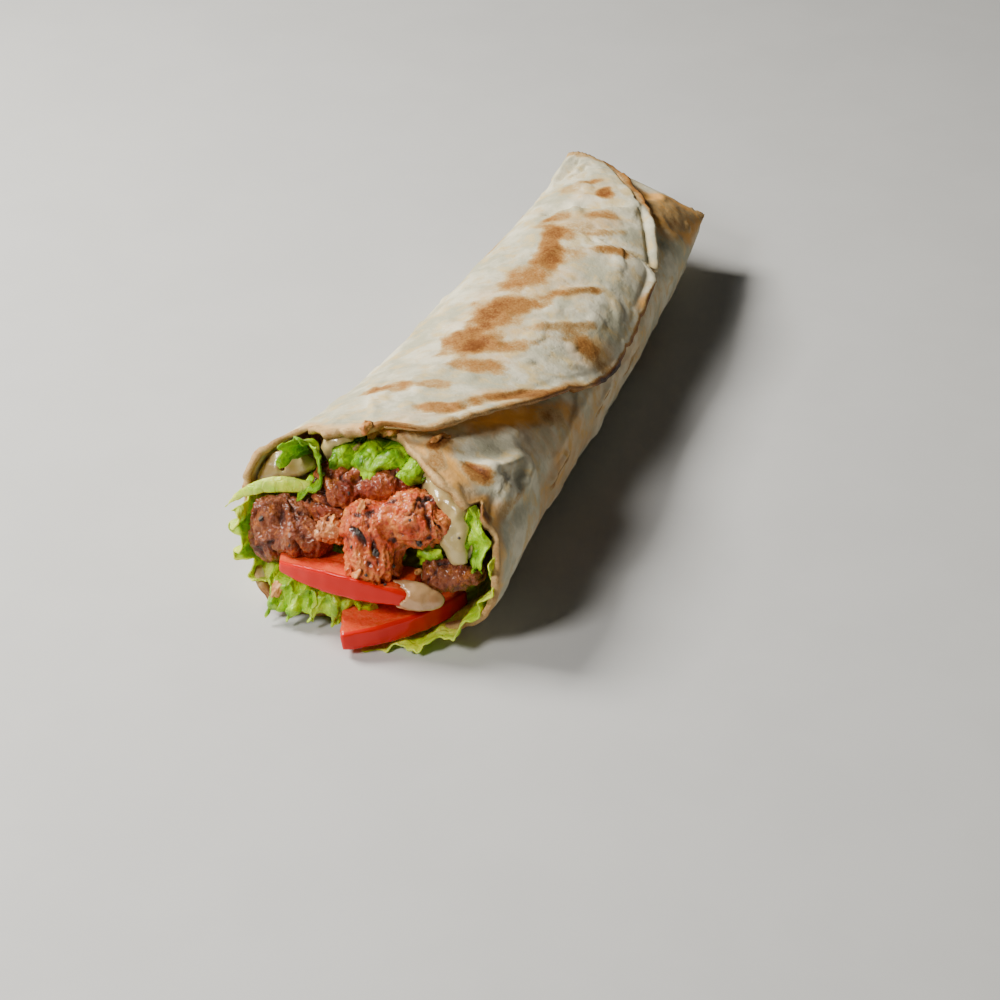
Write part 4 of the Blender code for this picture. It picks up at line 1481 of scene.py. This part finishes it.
@dataclass
class Studio:
    """Floor, lights and the camera at the photograph's angle."""

    eye: Place = (0.2635, -0.6556, 0.4545)
    target: Place = (0.01685, -0.04518, 0.0)
    lens: float = 90.36
    sensor: float = 36.0
    frame_px: float = 1000.0
    floor_size: float = 6.0
    sky: Colour = (0.92, 0.94, 1.0)
    sky_strength: float = 0.03

    def camera(self) -> None:
        """Adds the camera."""
        data = bpy.data.cameras.new("view")
        data.lens, data.sensor_width = self.lens, self.sensor
        data.clip_start = 0.01
        camera = bpy.data.objects.new("view", data)
        camera.location = self.eye
        camera.rotation_euler = view_turn(self.eye, self.target).to_euler()
        link(camera)
        bpy.context.scene.camera = camera

    def ray(self, x: float, y: float) -> Vector:
        """Direction of the view through a pixel of the frame.

        Args:
            x: its place from the left.
            y: its place from the top.

        Returns:
            The direction.
        """
        scale = self.sensor / self.lens / self.frame_px
        middle = self.frame_px / 2.0
        way = Vector(((x - middle) * scale, (middle - y) * scale, -1.0))
        return (view_turn(self.eye, self.target) @ way).normalized()

    def light(
        self, name: str, place: Place, aim: Place, size: float, power: float, colour: Colour,
    ) -> None:
        """Adds one soft square light.

        Args:
            name: the light's name.
            place: where it stands.
            aim: where it points.
            size: its side in metres.
            power: its power in watts.
            colour: its colour.
        """
        data = bpy.data.lights.new(name, "AREA")
        data.shape, data.size, data.energy, data.color = "SQUARE", size, power, colour
        lamp = bpy.data.objects.new(name, data)
        lamp.location = place
        lamp.rotation_euler = view_turn(place, aim).to_euler()
        link(lamp)

    def build(self) -> None:
        """Adds the floor, the lights and the sky."""
        deselect()
        bpy.ops.mesh.primitive_plane_add(size=self.floor_size, location=(0.0, 0.0, 0.0))
        floor = bpy.context.object
        floor.name = "floor"
        pale = GritFinish("pale_floor", (0.66, 0.66, 0.65), (0.64, 0.64, 0.63), 40.0, 0.85, 0.05)
        floor.data.materials.append(pale.make())
        self.light("key", (-0.56, -0.04, 0.61), (0.0, -0.02, 0.03), 0.28, 11.5, (1.0, 0.97, 0.90))
        self.light("front", (-0.30, -0.62, 0.58), (0.0, -0.12, 0.03), 0.20, 5.5, (1.0, 0.97, 0.92))
        world = bpy.data.worlds.new("studio")
        world.use_nodes = True
        background = world.node_tree.nodes["Background"]
        Nodes(world.node_tree).feed(background, color=self.sky, strength=self.sky_strength)
        bpy.context.scene.world = world


@dataclass
class Seasoning:
    """Small things lying on the food, each put where the view through a pixel meets it."""

    studio: Studio
    pieces: list[bpy.types.Object]

    def __post_init__(self) -> None:
        """Reads the surfaces that carry them."""
        self.trees = []
        for piece in self.pieces:
            mesh = bmesh.new()
            mesh.from_mesh(piece.data)
            self.trees.append(bvhtree.BVHTree.FromBMesh(mesh))
            mesh.free()

    def spot(self, x: float, y: float) -> tuple[Vector, Vector]:
        """Nearest surface point and its normal on the view through a pixel.

        Args:
            x: the pixel's place from the left.
            y: its place from the top.

        Returns:
            The point and the normal.
        """
        eye, way = Vector(self.studio.eye), self.studio.ray(x, y)
        hits = [tree.ray_cast(eye, way) for tree in self.trees]
        hits = [hit for hit in hits if hit[0] is not None]
        if not hits:
            raise ValueError(f"nothing under {x}, {y}")
        hit = min(hits, key=lambda found: found[3])
        return hit[0], hit[1]

    def nugget(
        self, bm: bmesh.types.BMesh, place: Vector, normal: Vector, size: Place, turn: float,
        seed: float,
    ) -> None:
        """Adds one rough lump, sunk a little into the surface.

        Args:
            bm: the mesh that takes it.
            place: where it lies.
            normal: which way is up there.
            size: its half sizes in millimetres.
            turn: its turn in radians.
            seed: a shift that gives another lump.
        """
        made = bmesh.ops.create_icosphere(bm, subdivisions=3, radius=1.0)["verts"]
        side = normal.orthogonal().normalized()
        other = normal.cross(side)
        u = side * math.cos(turn) + other * math.sin(turn)
        v = normal.cross(u)
        for vertex in made:
            coarse = noise.noise(vertex.co * 1.5 + Vector((seed, seed, 0.0)))
            fine = noise.noise(vertex.co * 3.6 + Vector((0.0, seed, 0.0)))
            local = vertex.co * (1.0 + 0.75 * coarse + 0.35 * fine)
            height = normal * (local.z * size[2] + 0.25 * size[2])
            vertex.co = place + (u * local.x * size[0] + v * local.y * size[1] + height) * MM

    def build(
        self, name: str, rows: Rows, food: Food, finish: bpy.types.Material,
    ) -> bpy.types.Object:
        """Makes one piece of many lumps.

        Args:
            name: the piece's name.
            rows: pixel x and y, half sizes in millimetres and turn of each lump.
            food: its kind of food, which is logged.
            finish: its material.

        Returns:
            The piece.
        """
        bm = bmesh.new()
        for index, (x, y, a, b, c, turn) in enumerate(rows):
            place, normal = self.spot(x, y)
            self.nugget(bm, place, normal, (a, b, c), turn, index * 3.3)
        mesh = bpy.data.meshes.new(name)
        bm.to_mesh(mesh)
        bm.free()
        piece = bpy.data.objects.new(name, mesh)
        link(piece)
        modify(piece, "SUBSURF", levels=1, render_levels=1)
        dress(piece, food, (), finish)
        return piece


# Pixel x, y, half sizes in millimetres and turn of the small pieces.
PEPPER: Rows = (
    (375.0, 553.0, 1.1, 0.9, 0.8, 0.3), (359.0, 532.0, 1.2, 0.9, 0.8, 1.0),
    (420.0, 543.0, 1.4, 1.0, 0.8, 0.5), (261.0, 519.0, 0.9, 0.6, 0.5, 0.2),
    (385.0, 585.0, 0.5, 0.4, 0.4, 0.1), (349.0, 493.0, 0.5, 0.4, 0.4, 0.7),
    (352.0, 547.0, 0.6, 0.5, 0.5, 0.7), (459.0, 538.0, 0.4, 0.4, 0.3, 0.0),
    (394.0, 566.0, 0.5, 0.4, 0.3, 1.2), (290.0, 545.0, 0.6, 0.4, 0.4, 0.4),
    (410.0, 520.0, 0.5, 0.4, 0.3, 1.8), (366.0, 575.0, 0.5, 0.4, 0.3, 2.1),
)
FAT_BITS: Rows = (
    (361.0, 508.0, 2.6, 1.1, 0.8, 0.3), (357.0, 577.0, 2.8, 1.5, 1.2, 2.2),
    (333.0, 520.0, 1.8, 0.9, 0.6, 1.0), (418.0, 572.0, 1.6, 0.9, 0.7, 0.6),
)
CRUST_CURLS: Rows = (
    (313.0, 436.0, 2.6, 1.9, 1.7, 0.2), (322.0, 437.0, 2.4, 1.8, 1.6, 1.1),
    (367.0, 428.0, 2.3, 1.8, 1.7, 0.6), (374.0, 433.0, 2.3, 1.7, 1.6, 0.9),
    (390.0, 432.0, 3.0, 2.2, 1.8, 0.4), (436.0, 440.0, 2.4, 1.2, 0.9, 0.5),
    (445.0, 437.0, 1.8, 1.1, 0.8, 0.2), (277.0, 590.0, 2.6, 1.6, 1.2, 0.7),
)
# The small pieces: name, rows, kind of food and finish.
SCATTERED: tuple[tuple[str, Rows, Food, GritFinish], ...] = (
    ("pepper", PEPPER, Food.MEAT,
     GritFinish("black_pepper", (0.03, 0.025, 0.022), (0.10, 0.075, 0.06), 0.6, 0.5)),
    ("fat_bits", FAT_BITS, Food.MEAT,
     GritFinish("seared_fat", (0.74, 0.190, 0.025), (0.84, 0.400, 0.130), 1.4, 0.3)),
    ("crust_curls", CRUST_CURLS, Food.BREAD,
     GritFinish("curled_crust", (0.50, 0.170, 0.035), (0.80, 0.420, 0.120), 2.4, 0.5)),
)


def build_fillings() -> list[bpy.types.Object]:
    """Builds meat, tomato, sauce and leaves, and dresses the solids that stay.

    Returns:
        The built pieces.
    """
    roast = MeatFinish("roast_meat").make()
    red_roast = MeatFinish(
        "roast_meat_red", red=(0.62, 0.060, 0.008), pink=(0.86, 0.260, 0.060), fat=0.45,
    ).make()
    brown_roast = MeatFinish(
        "roast_meat_brown", red=(0.21, 0.035, 0.007), pink=(0.34, 0.100, 0.028),
        orange=(0.56, 0.150, 0.018),
    ).make()
    light_roast = MeatFinish(
        "roast_meat_light", red=(0.62, 0.180, 0.045), pink=(0.84, 0.400, 0.160),
        orange=(0.86, 0.330, 0.060),
    ).make()
    bright = LeafFinish("leaf_bright").make()
    dark = LeafFinish(
        "leaf_dark", bright=(0.33, 0.62, 0.001), deep=(0.055, 0.20, 0.001), pale=(0.56, 0.82, 0.03),
        paleness=0.15,
    ).make()
    pale = LeafFinish(
        "leaf_pale", bright=(0.72, 0.93, 0.020), deep=(0.42, 0.70, 0.004), pale=(0.90, 0.97, 0.22),
        paleness=0.42,
    ).make()
    tomato = TomatoFinish("tomato").make()
    cream = SauceFinish("cream_sauce").make()
    brown_cream = SauceFinish(
        "cream_sauce_brown", cream=(0.58, 0.35, 0.16), warm=(0.40, 0.17, 0.06),
    ).make()
    built = [
        Meat("meat_centre", red_roast, 1.0, swell=1.3, closing=2.6, cleft=0.6).build(),
        Meat("meat_upper", roast, 2.0).build(),
        Meat("meat_inner", roast, 3.0).build(),
        Meat("meat_left", brown_roast, 4.0).build(),
        Meat("meat_right", brown_roast, 5.0, cleft=0.8).build(),
        Meat("meat_nugget", light_roast, 6.0, cleft=0.8, crag=0.6, lump=5.0).build(),
        Tomato("tomato_left", tomato, (1.5, -71.5), 60.0).build(),
        Tomato("tomato_right", tomato, (-17.1, -89.1), 53.0).build(),
    ]
    for seed, node in enumerate(("sauce_left", "sauce_low", "sauce_mid", "sauce_right")):
        finish = brown_cream if node == "sauce_low" else cream
        built.append(Sauce(node, finish, float(seed)).build())
    built += [
        Leaf("leaf_left", "lettuce_left", leaf_left, 84, 46, pale, 0.8, 0.12, 1.0).build(),
        Leaf("leaf_side", "lettuce_side", leaf_side, 110, 44, pale, 0.6, 0.10, 2.0).build(),
        Leaf("leaf_frill", "lettuce_frill", leaf_frill, 130, 60, bright, 1.0, 0.08, 3.0).build(),
        Leaf("leaf_top", "lettuce_top", leaf_top, 110, 60, dark, 0.7, 0.14, 4.0).build(),
        Leaf("leaf_curl", "lettuce_curl", leaf_curl, 90, 34, dark, 0.6, 0.12, 5.0).build(),
        Leaf("leaf_right", "lettuce_right", leaf_right, 34, 54, bright, 0.7, 0.10, 6.0).build(),
        Leaf("leaf_inner", "lettuce_inner", leaf_inner, 30, 30, bright, 0.5, 0.10, 7.0).build(),
    ]
    shred = solid_copy("lettuce_shred", "leaf_shred")
    remesh(shred, 0.4, 3)
    points = coordinates(shred.data)
    raise_points(shred.data, 0.4 * noise_at(points, 2.4, 8.0))
    write_attribute(shred.data, "rib", np.zeros(len(points)))
    dress(shred, Food.LETTUCE, ("lettuce_shred",), pale)
    built.append(shred)
    for node, finish in (("lettuce_bed", bright), ("meat_filling", roast)):
        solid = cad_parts[node]
        solid.data.materials.clear()
        solid.data.materials.append(finish)
    return built


def main() -> None:
    """Builds the camera, the food and the studio in order."""
    logging.basicConfig(level=logging.INFO, format="%(name)s: %(message)s")
    studio = Studio()
    studio.camera()
    grain = soft_grain()
    bread = Flatbread()
    sheet = bread.build(grain)
    seasoning = Seasoning(studio, [sheet, *build_fillings()])
    for name, rows, food, finish in SCATTERED:
        seasoning.build(name, rows, food, finish.make())
    studio.build()


if __name__ == "__main__":
    main()
